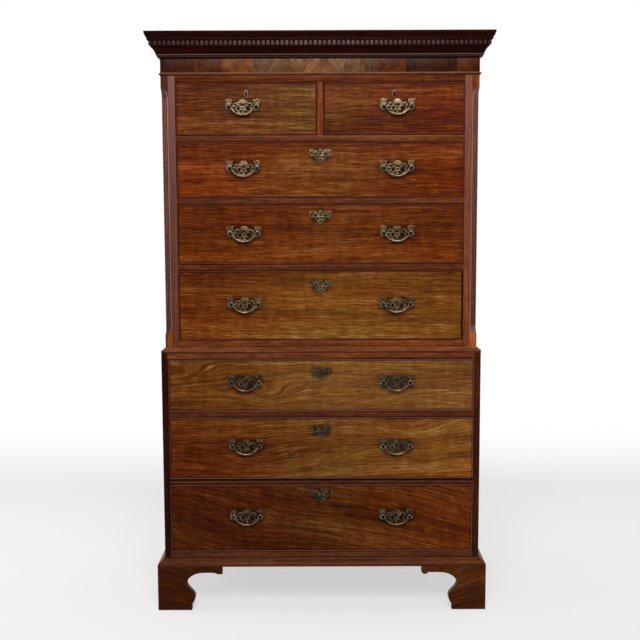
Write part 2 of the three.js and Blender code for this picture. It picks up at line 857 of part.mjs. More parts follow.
function drawerFront(width, height, keyDrop) {
  const half = width / 2 - frontGap;
  const top = height - frontGap;
  const corners = [[-half, frontGap], [half, frontGap], [half, top], [-half, top]];
  const nose = cockBeadProud * 0.4;
  const profile = drawn(-cockBeadWidth, -shoulder, (path) => {
    path.lineTo(0, -shoulder);
    path.lineTo(0, nose);
    path.bezierCurveTo(
      0, cockBeadProud * 1.2,
      -cockBeadWidth, cockBeadProud * 1.2,
      -cockBeadWidth, nose,
    );
  });
  const bead = moulding(profile, corners.map(([x, y]) => new THREE.Vector2(x, y)), true);
  bead.rotateX(Math.PI / 2);
  const keyway = standingPlate(keyholeOutline(), keyholeCutDepth + overrun);
  keyway.translate(0, keyholeCutDepth, top - keyDrop);
  return cut(join([board([-half, half], [0, frontThickness], [frontGap, top]), bead]), [keyway]);
}

function drawerBox(width, height, caseDepth) {
  const half = width / 2 - frontGap;
  const top = height - frontGap;
  const depth = [frontThickness + seat, caseDepth - backThickness - drawerEndRoom];
  const inner = half - drawerSideThickness;
  const side = board([inner, half], depth, [runningClearance, top - drawerSideDrop]);
  const grooved = [-inner - shoulder, inner + shoulder];
  const back = [depth[1] - drawerSideThickness, depth[1]];
  return join([
    side,
    mirrorX(side),
    board(grooved, depth, [drawerBottomRise, drawerBottomRise + drawerBottomThickness]),
    board(grooved, back, [drawerBottomRise, top - drawerBackDrop]),
  ]);
}

// One drawer with its brasses. A short drawer has one handle and a bare keyhole. A long
// drawer has a handle on each side and an escutcheon.
function drawer({ name, width, levels, front, middle, metal, handleRise, keyDrop }) {
  const height = levels[1] - levels[0];
  const group = new THREE.Group();
  group.position.set(middle, front, levels[0]);
  group.add(mesh(`drawer_front_${name}`, drawerFront(width, height, keyDrop), mahogany));
  group.add(mesh(`drawer_box_${name}`, drawerBox(width, height, backPlane - front), oak));
  const places = [['left', -handleOffset], ['right', handleOffset]];
  for (const [side, x] of places.filter(([, at]) => Math.abs(at - middle) < width / 2)) {
    const label = middle === 0 ? `${name}_${side}` : name;
    const handle = new THREE.Group();
    handle.position.set(x - middle, -seat, height / 2 + handleRise);
    handle.add(mesh(`backplate_${label}`, backplate(), metal));
    handle.add(mesh(`bail_${label}`, bail(), metal));
    group.add(handle);
  }
  if (middle === 0) {
    const plate = mesh(`escutcheon_${name}`, escutcheon(), metal);
    plate.position.set(0, -seat, height - frontGap - keyDrop);
    group.add(plate);
  }
  return group;
}

function drawers() {
  const half = partitionThickness / 2;
  const middle = (upperOpeningHalf + half) / 2;
  const upper = upperOpenings.map((levels, i) => ({
    name: `upper_${i + 1}`,
    width: upperOpeningHalf * 2,
    levels,
    front: upperFront,
    middle: 0,
    metal: brass,
    handleRise: upperHandleRises[i],
    keyDrop: upperKeyDrops[i],
  }));
  const lower = lowerOpenings.map((levels, i) => ({
    name: `lower_${i + 1}`,
    width: lowerOpeningHalf * 2,
    levels,
    front: lowerFront,
    middle: 0,
    metal: darkBrass,
    handleRise: lowerHandleRises[i],
    keyDrop: lowerKeyDrops[i],
  }));
  const short = { ...upper.pop(), width: upperOpeningHalf - half };
  return [
    { ...short, name: 'short_left', middle: -middle },
    { ...short, name: 'short_right', middle },
    ...upper,
    ...lower,
  ].map(drawer);
}

const chest = new THREE.Group();
chest.add(
  ...feet(),
  baseMoulding(),
  lowerCarcass(),
  backboards('lower_backboards', lowerOpeningHalf - seat, [lowerBottom, lowerCaseTop]),
  upperCarcass(),
  backboards('upper_backboards', upperInnerHalf - seat, [upperBottom, upperTop]),
  cornice(),
  ...drawers(),
);

export default chest;
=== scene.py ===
# %% [markdown]
# # A chest on chest, dressed for the camera
#
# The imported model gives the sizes, the bodies and the joints. This lesson puts finer pieces
# over its solids: boards with softened edges, swept mouldings, figured veneers, carved feet
# and pierced brasses. Every new piece is worked out with numpy arrays, in metres, and its
# place is in its mesh, so that a drawer can carry it when it slides.

import bmesh
import bpy
import numpy as np
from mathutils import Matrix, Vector


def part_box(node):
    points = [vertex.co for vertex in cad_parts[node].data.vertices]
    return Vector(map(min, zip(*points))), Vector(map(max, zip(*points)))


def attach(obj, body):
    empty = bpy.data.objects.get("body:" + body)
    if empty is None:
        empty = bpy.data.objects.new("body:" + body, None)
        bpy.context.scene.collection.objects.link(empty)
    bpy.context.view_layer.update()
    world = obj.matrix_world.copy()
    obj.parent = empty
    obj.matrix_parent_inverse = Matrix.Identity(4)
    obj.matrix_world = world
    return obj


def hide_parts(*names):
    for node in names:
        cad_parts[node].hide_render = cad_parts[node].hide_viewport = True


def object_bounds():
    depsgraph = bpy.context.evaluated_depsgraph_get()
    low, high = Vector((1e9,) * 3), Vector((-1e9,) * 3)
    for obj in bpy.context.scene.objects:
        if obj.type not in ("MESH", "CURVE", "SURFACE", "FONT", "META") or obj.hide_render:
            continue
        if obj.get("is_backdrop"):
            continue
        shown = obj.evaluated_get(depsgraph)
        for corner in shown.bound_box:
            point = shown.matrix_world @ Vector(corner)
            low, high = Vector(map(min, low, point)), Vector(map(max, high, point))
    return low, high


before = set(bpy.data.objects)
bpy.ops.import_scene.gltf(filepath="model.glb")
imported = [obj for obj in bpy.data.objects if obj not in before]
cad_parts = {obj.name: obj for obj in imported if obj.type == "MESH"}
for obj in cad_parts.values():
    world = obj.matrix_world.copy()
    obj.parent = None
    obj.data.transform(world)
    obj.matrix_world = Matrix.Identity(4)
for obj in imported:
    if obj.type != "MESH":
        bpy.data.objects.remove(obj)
cad_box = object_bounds()
print("CAD box", [list(c) for c in cad_box])

# %% [markdown]
# ## Sizes that the pieces share
#
# Most places come from the boxes of the solids. What a box can't tell, such as how wide the
# canted corner is, is named here once. `HALF` is half the width of a case and `OPEN` half the
# width between its sides. `BOARDS_FRONT` is just before the backboards.

# %% Sizes
MM = 0.001
GAP = 1.5 * MM
BEAD_WIDE = 4 * MM
BEAD_PROUD = 3 * MM
FRONT_THICK = 20 * MM
CANT = 20.5 * MM
STILE = 24.5 * MM
SIDE = 19.5 * MM
RAIL_DEEP = 60 * MM
BASE_OUT = 22.5 * MM
BACK = 0.288
BOARDS_FRONT = BACK - 13 * MM
LOWER_FRONT, UPPER_FRONT = -0.257, -0.244
LOWER_HALF, UPPER_HALF = 0.5205, 0.5075
LOWER_OPEN, UPPER_OPEN = 0.501, UPPER_HALF - CANT - STILE
LOWER_FLOOR, LOWER_TOP = 0.1481, 0.862
UPPER_FLOOR, UPPER_TOP = 0.8621, 1.873
FRIEZE = 1.756
rng = np.random.default_rng(1765)

LOWER = ["lower_1", "lower_2", "lower_3"]
UPPER = ["upper_1", "upper_2", "upper_3"]
DRAWERS = ["short_left", "short_right", *UPPER[::-1], *LOWER[::-1]]


def opening(name):
    """(x0, x1, z0, z1, front) of a drawer's opening, from the box of its front."""
    low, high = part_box(f"drawer_front_{name}")
    return low.x - GAP, high.x + GAP, low.z - GAP, high.z + GAP, low.y + BEAD_PROUD


OPEN = {name: opening(name) for name in DRAWERS}
print("bottom drawer's opening", np.round(OPEN["lower_1"], 4))

# %% [markdown]
# ## From arrays to pieces
#
# A *part* is a closed shell: its points, its faces as arrays of indices, and two values on
# every point that the wood reads. `grain` is the place in the log, with the fibres along its
# first axis, and `tone` is how light and how red the wood is there, and how much pale pink lies
# over it; the first value also carries painted light and shade, and the third is partly a milky
# haze of old polish and partly painted sheen and highlights. Faces are
# turned outwards by the sign of the volume that they enclose.

# %% Parts and pieces
def part(points, faces, grain=None, tone=(1.0, 0.0, 0.0)):
    """A closed shell with outward faces. Volume = sum over triangles of a . (b x c) / 6."""
    points = np.asarray(points, float).reshape(-1, 3)
    volume = 0.0
    for block in faces:
        corner = points[block]
        for k in range(1, block.shape[1] - 1):
            cross = np.cross(corner[:, k], corner[:, k + 1])
            volume += np.einsum("ij,ij->i", corner[:, 0], cross).sum()
    if volume < 0:
        faces = [block[:, ::-1] for block in faces]
    grain = points if grain is None else np.asarray(grain, float).reshape(-1, 3)
    tone = np.broadcast_to(np.asarray(tone, float).reshape(-1, 3), points.shape)
    return {"points": points, "faces": faces, "grain": grain, "tone": tone}


SHARP = np.radians(35)


def piece(name, parts, material, body, stands_for=()):
    """One object from several parts, with its attributes, material and body; the solids it stands
    for are hidden.

    An edge stays sharp where its two faces meet at more than the angle SHARP.
    """
    start, faces = 0, []
    for p in parts:
        faces += [row for block in p["faces"] for row in (block + start).tolist()]
        start += len(p["points"])
    mesh = bpy.data.meshes.new(name)
    mesh.from_pydata(np.concatenate([p["points"] for p in parts]).tolist(), [], faces)
    for key in ("grain", "tone"):
        values = np.concatenate([p[key] for p in parts]).astype(np.float32)
        attribute = mesh.attributes.new(key, "FLOAT_VECTOR", "POINT")
        attribute.data.foreach_set("vector", values.ravel())
    mesh.shade_smooth()
    mesh.set_sharp_from_angle(angle=SHARP)
    mesh.materials.append(material)
    made = bpy.data.objects.new(name, mesh)
    bpy.context.scene.collection.objects.link(made)
    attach(made, body)
    if stands_for:
        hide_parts(*stands_for)
    return made


def band(rows, count, closed=False):
    """Faces of a skin over rows of `count` points: each quad joins (i, j) to (i+1, j+1)."""
    i = np.arange(rows if closed else rows - 1)[:, None]
    j = np.arange(count)[None, :]
    k = (j + 1) % count
    n = (i + 1) % rows
    quads = np.stack([i * count + j, i * count + k, n * count + k, n * count + j], -1)
    return quads.reshape(-1, 4)


def loft(rings, closed=False, **values):
    """A shell through rings (rows x count x 3), with a flat cap on each open end."""
    rings = np.asarray(rings, float)
    rows, count = rings.shape[:2]
    faces = [band(rows, count, closed)]
    if not closed:
        first = np.arange(count)[None, :]
        faces += [first[:, ::-1], first + (rows - 1) * count]
    return part(rings.reshape(-1, 3), faces, **values)


print("a band of 3 rows of 4 has", len(band(3, 4)), "quads")

# %% [markdown]
# ## Boards
#
# A board from a plane has slightly rounded edges, the arrises, and they are what catches the
# light. A cube with a Bevel modifier would have them too, but not its place in the log. Here a
# board is a rounded rectangle carried along its length, drawn in by the arris at both ends.
# Its grain runs along its length, from a random place in the log, and its tone varies a
# little from board to board.

# %% Boards
LOG_SPREAD = 40
CORNER_POINTS = 3


def log_offset():
    """A random place in the log, in metres, so that no two boards share their figure."""
    return rng.uniform(-LOG_SPREAD, LOG_SPREAD, 3)


def log_place(points, along):
    """The points as places in a log: fibres along one axis, and a random offset."""
    return points[..., [along] + [k for k in range(3) if k != along]] + log_offset()


def rounded(half_a, half_b, radius):
    """Corner arcs of a rounded rectangle: centre + radius (cos t, sin t), for 4 quarters."""
    t = np.linspace(0, np.pi / 2, CORNER_POINTS)
    angle = (np.arange(4)[:, None] * np.pi / 2 + t).ravel()
    sign_a, sign_b = np.repeat([[1, -1, -1, 1], [1, 1, -1, -1]], CORNER_POINTS, axis=1)
    a = sign_a * (half_a - radius) + radius * np.cos(angle)
    b = sign_b * (half_b - radius) + radius * np.sin(angle)
    return np.stack([a, b], -1)


def board(x, y, z, along=0, arris=0.7 * MM, tone=None):
    """A board between two limits on each axis, its fibres along axis `along`.

    The last three rings at each end are drawn in by none, a third and all of the arris.
    """
    low, high = np.array([x, y, z], float).T
    middle, half = (low + high) / 2, (high - low) / 2
    a, b = [k for k in range(3) if k != along]
    arris = min(arris, half.min() * 0.45)
    drawn_in = arris * np.array([1, 0.3, 0, 0, 0.3, 1])
    stop = half[along]
    level = np.array([-stop, arris * 0.7 - stop, arris * 2 - stop,
                      stop - arris * 2, stop - arris * 0.7, stop])
    rings = np.empty((len(level), 4 * CORNER_POINTS, 3))
    for row, (draw, at) in enumerate(zip(drawn_in, level)):
        rings[row, :, a], rings[row, :, b] = rounded(half[a] - draw, half[b] - draw, arris).T
        rings[row, :, along] = at
    rings += middle
    if tone is None:
        tone = (rng.normal(1, 0.07), rng.normal(0, 0.12), 0)
    return loft(rings, grain=log_place(rings, along), tone=tone)


def span(a, b, side):
    """The two limits in order, mirrored for side -1."""
    return sorted((a * side, b * side))


def board_pair(a, b, y, z, **more):
    """A board between a and b on the right, and one at the mirrored place on the left."""
    return [board(span(a, b, side), y, z, **more) for side in (1, -1)]


print("points in a board", len(board((0, 1), (0, 1), (0, 1))["points"]))

# %% [markdown]
# ## Wood
#
# Polished mahogany is a dark red-brown with long streaks that run with the fibres. A picture
# of it would repeat from board to board, so the pattern is worked out from the `grain`
# attribute: noise that is stretched many times along the fibres makes the streaks, broader
# noise makes the bands, and a fine dashed one the open pores. The polish is a little uneven,
# so that light breaks up on it.

# %% Node helpers
def hexed(code):
    """Linear colour of an sRGB hex code: ((c + 0.055) / 1.055) ** 2.4 above 0.04."""
    value = np.array([int(code[i:i + 2], 16) / 255 for i in (1, 3, 5)])
    linear = np.where(value > 0.04045, ((value + 0.055) / 1.055) ** 2.4, value / 12.92)
    return (*linear.tolist(), 1.0)


class Nodes:
    """A short way to write a material's node tree."""

    def __init__(self, name):
        self.material = bpy.data.materials.new(name)
        self.material.use_nodes = True
        self.tree = self.material.node_tree
        self.shader = self.tree.nodes["Principled BSDF"]

    def add(self, kind, inputs=None, **settings):
        node = self.tree.nodes.new(kind)
        for key, value in settings.items():
            setattr(node, key, value)
        for key, value in (inputs or {}).items():
            self.put(node.inputs[key], value)
        return node

    def put(self, socket, value):
        if isinstance(value, bpy.types.NodeSocket):
            self.tree.links.new(value, socket)
        else:
            socket.default_value = value

    def math(self, operation, *values):
        inputs = dict(enumerate(values))
        return self.add("ShaderNodeMath", inputs, operation=operation).outputs[0]

    def vector(self, operation, a, b):
        return self.add("ShaderNodeVectorMath", {0: a, 1: b}, operation=operation).outputs[0]

    def scaled(self, vector, factor):
        inputs = {"Vector": vector, "Scale": factor}
        return self.add("ShaderNodeVectorMath", inputs, operation="SCALE").outputs[0]

    def noise(self, where, scale, stretch=(1, 1, 1), detail=3.0, rough=0.55):
        place = self.vector("MULTIPLY", where, stretch)
        node = self.add("ShaderNodeTexNoise", {
            "Vector": place, "Scale": scale, "Detail": detail, "Roughness": rough})
        return node.outputs["Fac"]

    def ramp(self, value, *stops):
        node = self.add("ShaderNodeValToRGB", {"Fac": value})
        elements = node.color_ramp.elements
        while len(elements) < len(stops):
            elements.new(0.5)
        for element, (at, colour) in zip(elements, stops):
            element.position = at
            element.color = colour
        return node.outputs["Color"]

    def between(self, value, low, high, to_low=0.0, to_high=1.0):
        node = self.add("ShaderNodeMapRange", {
            "Value": value, "From Min": low, "From Max": high,
            "To Min": to_low, "To Max": to_high})
        return node.outputs["Result"]

    def mix(self, factor, a, b):
        node = self.add("ShaderNodeMix", data_type="RGBA")
        node.clamp_factor = True
        self.put(node.inputs["Factor"], factor)
        self.put(node.inputs["A"], a)
        self.put(node.inputs["B"], b)
        return node.outputs["Result"]

    def attribute(self, name):
        return self.add("ShaderNodeAttribute", attribute_name=name).outputs["Vector"]

    def parts(self, vector):
        return self.add("ShaderNodeSeparateXYZ", {0: vector}).outputs

    def join(self, x, y, z):
        return self.add("ShaderNodeCombineXYZ", {0: x, 1: y, 2: z}).outputs[0]

    def finish(self, colour, roughness, height, strength, distance=0.3 * MM, **sockets):
        bump = self.add("ShaderNodeBump", {
            "Height": height, "Strength": strength, "Distance": distance})
        self.put(self.shader.inputs["Base Color"], colour)
        self.put(self.shader.inputs["Roughness"], roughness)
        self.put(self.shader.inputs["Normal"], bump.outputs[0])
        for key, value in sockets.items():
            self.put(self.shader.inputs[key.replace("_", " ")], value)
        return self.material


print("a middling brown in linear values", np.round(hexed("#8c5221"), 3))


# %% The wood itself
def wood(name, colours, polish=0.36, streak=70, band_scale=14, contrast=1.0, bare=False,
         gloss=0.06, object_grain=None, tint=None, mottled=0.2, flush=0.5, calm=0.0):
    """Wood whose streaks are noise of (along, across, deep) stretched by `streak`.

    The place across the fibres is first pushed by slow noise, so that the streaks wander
    as they do in a real board. The colour is a ramp over bands, streaks of three widths and
    a mottle. Of the tone, the first value makes it lighter, the second redder, and the
    third mixes in a pale pink, partly a milky haze, as old polish has, and partly painted sheen
    and highlights. `flush` is how far the red comes
    and goes in bands of its own, and `calm` how much weaker lighter wood is figured.
    """
    n = Nodes(name)
    if object_grain:
        place = n.add("ShaderNodeTexCoord").outputs["Object"]
        axes = n.parts(place)
        grain = n.join(*[axes[k] for k in object_grain])
    else:
        grain = n.attribute("grain")
    wave = n.noise(grain, 1.0, (2.6, 7, 7), detail=2.0)
    axes = n.parts(grain)
    across = n.math("MULTIPLY_ADD", wave, 0.014, axes[1])
    place = n.join(axes[0], across, axes[2])
    bands = n.noise(place, 1.0, (0.9, band_scale, band_scale), detail=2.0)
    streaks = n.noise(place, 1.0, (3, streak, streak), detail=3.0, rough=0.6)
    ribbons = n.noise(place, 1.0, (8, streak * 2.4, streak * 2.4), detail=3.0, rough=0.6)
    fine = n.noise(place, 1.0, (26, streak * 5.5, streak * 5.5), detail=2.0, rough=0.6)
    mottle = n.noise(grain, 1.0, (48, 17, 17), detail=3.0)
    pores = n.noise(place, 1.0, (60, 1100, 1100), detail=1.0)
    value = n.math("MULTIPLY", bands, 0.42)
    for layer, weight in ((streaks, 0.3), (ribbons, 0.5), (fine, 0.6), (mottle, mottled)):
        value = n.math("ADD", value, n.math("MULTIPLY", layer, weight))
    # Noise is 0.5 on average, so the sum is half of all the weights on average.
    middle, reach = 0.91 + mottled / 2, 0.32 / contrast
    if calm:
        strength = n.math("MULTIPLY_ADD", n.parts(n.attribute("tone"))[0], -calm, 1 + 0.9 * calm)
        value = n.math("MULTIPLY_ADD", n.math("SUBTRACT", value, middle), strength, middle)
    value = n.between(value, middle - reach, middle + reach)
    stops = [(k / (len(colours) - 1), hexed(c)) for k, c in enumerate(colours)]
    colour = n.ramp(value, *stops)
    holes = n.between(pores, 0.62, 0.72)
    colour = n.scaled(colour, n.math("MULTIPLY_ADD", holes, -0.4, 1.0))
    height = n.math("SUBTRACT", n.math("MULTIPLY", fine, 0.4), holes)
    if not object_grain:
        light, red, bloom_and_sheen = n.parts(n.attribute("tone"))
        flushed = n.noise(place, 1.0, (2.2, 12, 12), detail=3.0)
        red = n.math("ADD", red, n.between(flushed, 0.3, 0.7, -flush, flush))
        redder = n.join(*[n.math("MULTIPLY_ADD", red, k, 1.0) for k in (0.05, -0.35, -0.6)])
        colour = n.scaled(n.vector("MULTIPLY", colour, redder), light)
        # The third value mixes in a pale pink: a milky haze of old polish, and painted sheen and
        # highlights on crests and edges.
        colour = n.mix(bloom_and_sheen, colour, hexed("#b08e84"))
    if bare:
        rough = n.between(streaks, 0.3, 0.7, 0.72, 0.88)
        return n.finish(colour, rough, height, 0.5, 0.4 * MM, Specular_IOR_Level=0.2)
    cloud = n.noise(grain, 1.0, (9, 9, 9), detail=4.0)
    rough = n.between(cloud, 0.3, 0.7, polish - 0.07, polish + 0.1)
    return n.finish(colour, rough, height, 0.12, 0.15 * MM, Specular_IOR_Level=gloss,
                    Specular_Tint=hexed(tint or "#ffffff"))


MAHOGANY = wood("mahogany", ("#240b03", "#451c07", "#693410", "#8c5221"), contrast=1.1, flush=0.3)
FRONT_WOOD = wood("figured mahogany", ("#3b1505", "#622e09", "#834815", "#a8753f"),
                  streak=85, contrast=1.5, flush=0.25, calm=0.35)
DARK = wood("dark mahogany", ("#080101", "#180403", "#2c0b06", "#45180e"), tint="#ffb0a0")
BEAD_WOOD = wood("cock bead mahogany", ("#120303", "#260706", "#3b100b", "#512015"),
                 polish=0.3, gloss=0.2, tint="#ff9c98")
VENEER = wood("frieze veneer", ("#33170a", "#59331a", "#785231", "#9b774f"), band_scale=30,
              mottled=0.6, contrast=0.85, flush=0.6)
OAK = wood("drawer oak", ("#5e4226", "#8a6a42", "#a98a5c", "#bda277"), streak=110, bare=True)
PINE = wood("carcass pine", ("#4c3420", "#71522f", "#8d6b42", "#a5865a"), streak=50, bare=True)
BACK_PINE = wood("backboard pine", ("#3a2818", "#5f442a", "#7d5d3a", "#987a52"), streak=40,
                 bare=True, object_grain=(2, 0, 1))
print("materials", [m.name for m in bpy.data.materials])

# %% [markdown]
# ## Mouldings
#
# A moulding is one profile run along an edge and cut at 45 degrees at each corner. A curve
# with a profile could be swept round the case, but its fibres would turn the corner too. So
# each run is a loft between its two ends, and each point of an end is moved along the run by
# how far it stands out, which is what makes the mitre. The profile is drawn as lines, arcs
# and splines of (out, up) points. A spline is a cubic between two points whose slope at each
# follows its neighbours.

# %% Profiles and runs
def arc(centre, radius, start, stop, steps):
    """Points of centre + radius (cos t, sin t) from `start` to `stop` degrees."""
    t = np.radians(np.linspace(start, stop, steps))
    radius = np.broadcast_to(radius, 2)
    return np.stack([centre[0] + radius[0] * np.cos(t), centre[1] + radius[1] * np.sin(t)], -1)


def smooth(points, steps=5):
    """Catmull-Rom spline: 0.5 (2b + (c-a)t + (2a-5b+4c-d)t^2 + (3b-a-3c+d)t^3)."""
    p = np.asarray(points, float)
    p = np.concatenate([2 * p[:1] - p[1:2], p, 2 * p[-1:] - p[-2:-1]])
    a, b, c, d = (p[k:len(p) - 3 + k, None] for k in range(4))
    s = (np.arange(steps) / steps)[None, :, None]
    curve = 0.5 * (2 * b + (c - a) * s + (2 * a - 5 * b + 4 * c - d) * s ** 2
                   + (3 * b - a - 3 * c + d) * s ** 3)
    return np.concatenate([curve.reshape(-1, 2), p[-2:-1]])


def profile(*pieces):
    """One outline from points and runs of points, in millimetres, turned into metres."""
    return np.concatenate([np.atleast_2d(np.asarray(p, float)) for p in pieces]) * MM


def sheen_on_upward_faces(shape, tone, sheen):
    """Tones of a profile's points with a painted highlight on upward faces: the third value grows
    by sheen * the upward share of the normal there, and the light by the same factor.
    """
    step = np.roll(shape, -1, 0) - np.roll(shape, 1, 0)
    area = np.cross(np.roll(shape, 1, 0), shape).sum()
    rising = -step[:, 0] * np.sign(area) / np.linalg.norm(step, axis=1).clip(1e-9)
    tones = np.broadcast_to(np.array(tone, float), (len(shape), 3)).copy()
    tones[:, 2] += sheen * rising.clip(0, 1)
    tones[:, 0] *= 1 + sheen * rising.clip(0, 1)
    return tones


def run(shape, start, end, outward, up=(0, 0, 1), mitres=(0, 0), tone=None, sheen=0.0):
    """A profile carried from start to end: p = end + out * outward + up * z + mitre * along.

    A mitre of 1 lengthens that end by as much as the profile stands out.
    """
    start, end = np.array(start, float), np.array(end, float)
    along = (end - start) / np.linalg.norm(end - start)
    out, rise = shape[:, :1], shape[:, 1:]
    flat = out * np.array(outward, float) + rise * np.array(up, float)
    rings = np.stack([start + flat - along * out * mitres[0],
                      end + flat + along * out * mitres[1]])
    place = np.stack([rings @ along, rings @ np.array(up, float),
                      rings @ np.array(outward, float)], -1) + log_offset()
    if tone is None:
        tone = (rng.normal(1, 0.05), rng.normal(0, 0.1), 0)
    return loft(rings, grain=place, tone=np.tile(sheen_on_upward_faces(shape, tone, sheen), (2, 1)))


def round_three_sides(shape, half, front, **more):
    """The runs round a case: left side, front and right side, mitred at the corners."""
    corners = [(-half, BACK, 0), (-half, front, 0), (half, front, 0), (half, BACK, 0)]
    outward = [(-1, 0, 0), (0, -1, 0), (1, 0, 0)]
    return [run(shape, start, end, out, mitres=cut, **more)
            for start, end, out, cut in zip(corners, corners[1:], outward,
                                            [(0, 1), (1, 1), (1, 0)])]


print("points of a quarter circle", np.round(arc((0, 0), 1, 0, 90, 3), 3).tolist())

# %% [markdown]
# ## Base, waist and astragal
#
# Three mouldings go round three sides of the chest: an ogee over the feet, a small round and
# a hollow where the upper case stands on the lower one, and a thin bead under the frieze.
# One colour would leave them flat, so their tones are drawn level by level as painted light
# and shade: the bands that face the light are lighter, and the hollows and the edges where
# shadow falls are darker.

# %% Base, waist and astragal
base_shape = profile(
    (0.1, 148.1), (22.2, 148.1), (22.5, 148.4),
    smooth([(22.5, 150.4), (22.1, 153.8), (20.2, 157.6), (16.8, 161.0), (12.8, 164.2),
            (9.0, 167.0), (6.4, 169.6), (5.0, 172.2)], 3),
    (3.6, 172.5), (3.4, 175.0), (0.1, 175.0))
waist_shape = profile(
    (13.1, 858), (13.1, 862.1), arc((11.8, 864.2), (2.1, 2.1), -80, 60, 8),
    smooth([(12.6, 866.3), (10.8, 867.7), (8.0, 869.4), (5.4, 871.0), (3.6, 872.5),
            (2.8, 873.9)], 3),
    (0.1, 873.9), (0.1, 862.4), (12.9, 862.4), (12.9, 858))
astragal_shape = profile(
    (-2, 1746.2), (1.4, 1746.2), (1.4, 1747.4), arc((1.2, 1750.9), (3.3, 3.5), -90, 90, 9),
    (0.9, 1754.8), (0.9, 1756.0), (-2, 1756.0))


def shaded(shape, levels, lights, red, bloom_and_sheen):
    """Tones of a moulding with painted light and shade: light by linear steps between levels in
    mm, red, and the pale third value.
    """
    light = np.interp(shape[:, 1] / MM, levels, lights)
    return np.stack([light, np.full(len(shape), red), np.full(len(shape), bloom_and_sheen)], -1)


# Painted light and shade: the bands that face the light are lighter, and the top of the base and
# the foot of the waist moulding are dark as painted shadow.
base_tone = shaded(base_shape, (148, 150, 157, 160.5, 164, 170, 173, 175),
                   (0.75, 0.9, 0.95, 1.5, 1.05, 0.85, 0.6, 0.35), -0.05, 0.025)
waist_tone = shaded(waist_shape, (858, 862.1, 863, 865.5, 867.5, 870, 872.5, 874),
                    (0.35, 0.4, 2.0, 2.6, 1.5, 1.5, 2.7, 2.7), -0.25, 0.065)
base_moulding = piece(
    "base_ogee", round_three_sides(base_shape, LOWER_HALF, LOWER_FRONT, tone=base_tone),
    MAHOGANY, "chest", ["base_moulding"])
waist = round_three_sides(waist_shape, UPPER_HALF, UPPER_FRONT, tone=waist_tone)
# A painted highlight along the astragal's upward faces, by its sheen.
astragal = round_three_sides(astragal_shape, UPPER_HALF, UPPER_FRONT, tone=(0.9, 0.4, 0),
                             sheen=0.4)
print("base moulding", len(base_moulding.data.polygons), "faces")

# %% [markdown]
# ## The lower case
#
# Two sides, a rail between each two drawers, and behind the rails the dustboards, which are
# thinner and of plain wood. The solid is glued for good, but here each board is a shell of its
# own, so that its fibres stop where it does. The boards in mahogany are one piece and those in
# pine another.

# %% Boards between and behind the fronts
RAIL_ARRIS = 0.5 * MM
SHADOW_STRIP_HIGH = 5 * MM
DUST_THICK = 9 * MM


def rails(names, bottom, top, half, front, lights, shadowed_drawer=None):
    """The boards between the openings: from each top to the next bottom, and both ends.

    Under one drawer, given by the last argument, the top of the rail is a strip of its own,
    painted black as the shadow in the wide gap above it.
    """
    levels = [bottom] + [v for name in names for v in OPEN[name][2:4]] + [top]
    spans = list(zip(levels[::2], levels[1::2], lights))
    # Painted shadow: a black strip along the top of this rail.
    if shadowed_drawer:
        k = names.index(shadowed_drawer)
        low, high, light = spans[k]
        edge = high - SHADOW_STRIP_HIGH
        spans[k:k + 1] = [(low, edge, light), (edge, high, 0.1)]
    return [board((-half, half), (front, front + RAIL_DEEP), (low, high),
                  tone=(light, 0.05, 0.02 * min(light, 1)), arris=RAIL_ARRIS)
            for low, high, light in spans]


def dustboards(names, half, front):
    """A thin board under the opening of each drawer named, of two planks, one behind the other."""
    return [board((-half, half), y, (OPEN[name][2] - DUST_THICK, OPEN[name][2]))
            for name in names for y in ((front + 55 * MM, 0.02), (0.0205, BOARDS_FRONT))]


print("dustboards are", round(DUST_THICK / MM), "mm thick")


# %% Lower case
LIPPING = 22 * MM
lower_case = rails(LOWER, 0.1485, LOWER_TOP, LOWER_OPEN, LOWER_FRONT,
                   lights=(1.1, 1.0, 1.3, 1.8), shadowed_drawer="lower_2")
lower_case += [board(span(LOWER_OPEN, LOWER_HALF, side), (LOWER_FRONT, LOWER_FRONT + LIPPING),
                     (LOWER_FLOOR, LOWER_TOP), along=2, tone=tone)
               for side, tone in ((1, (0.62, 0.2, 0)), (-1, (0.26, 1.1, 0)))]
lower_case += board_pair(LOWER_OPEN, LOWER_HALF, (LOWER_FRONT + LIPPING, BACK),
                         (LOWER_FLOOR, LOWER_TOP), along=2, tone=(0.85, 0.5, 0))
lower_case += waist
piece("lower_case", lower_case, MAHOGANY, "chest", ["lower_carcass"])
lower_inside = dustboards(LOWER[1:], LOWER_OPEN, LOWER_FRONT)
lower_inside += [board((-LOWER_OPEN, LOWER_OPEN), (LOWER_FRONT + 0.05, BOARDS_FRONT), z)
                 for z in ((0.174, 0.192), (LOWER_TOP - 18 * MM, LOWER_TOP - MM))]
piece("lower_inside", lower_inside, PINE, "chest")
print("lower case", len(lower_case), "boards and runs,", len(lower_inside), "boards inside")

# %% [markdown]
# ## The canted corners
#
# The front corner of the upper case is planed off at 45 degrees and fluted, and the cant
# dies out at each end in a round stop. Booleans could cut it as a plane and a gouge do, but
# they leave ragged faces. One grid makes it clean: at every height the outline of the post is
# drawn, the cant c is as wide as the stop says there, and each flute is pressed in by the
# depth of a ball of radius r, sqrt(r^2 - du^2 - dv^2), where dv is zero between the two ends.
# So the flutes end round.

# %% Shape of a corner post
POST_DEEP = 46 * MM
STOP = 25.6 * MM
CANT_LOW, CANT_HIGH = 0.9175, 1.7055
CANT_POINTS, CORNER_MORE = 64, 11
CANT_LEAST = 0.3 * MM
FLUTE_LOW, FLUTE_HIGH = CANT_LOW + STOP, CANT_HIGH - STOP
FLUTE_PITCH = CANT * np.sqrt(2) / 3.5
FLUTE_RADIUS = 0.38 * FLUTE_PITCH


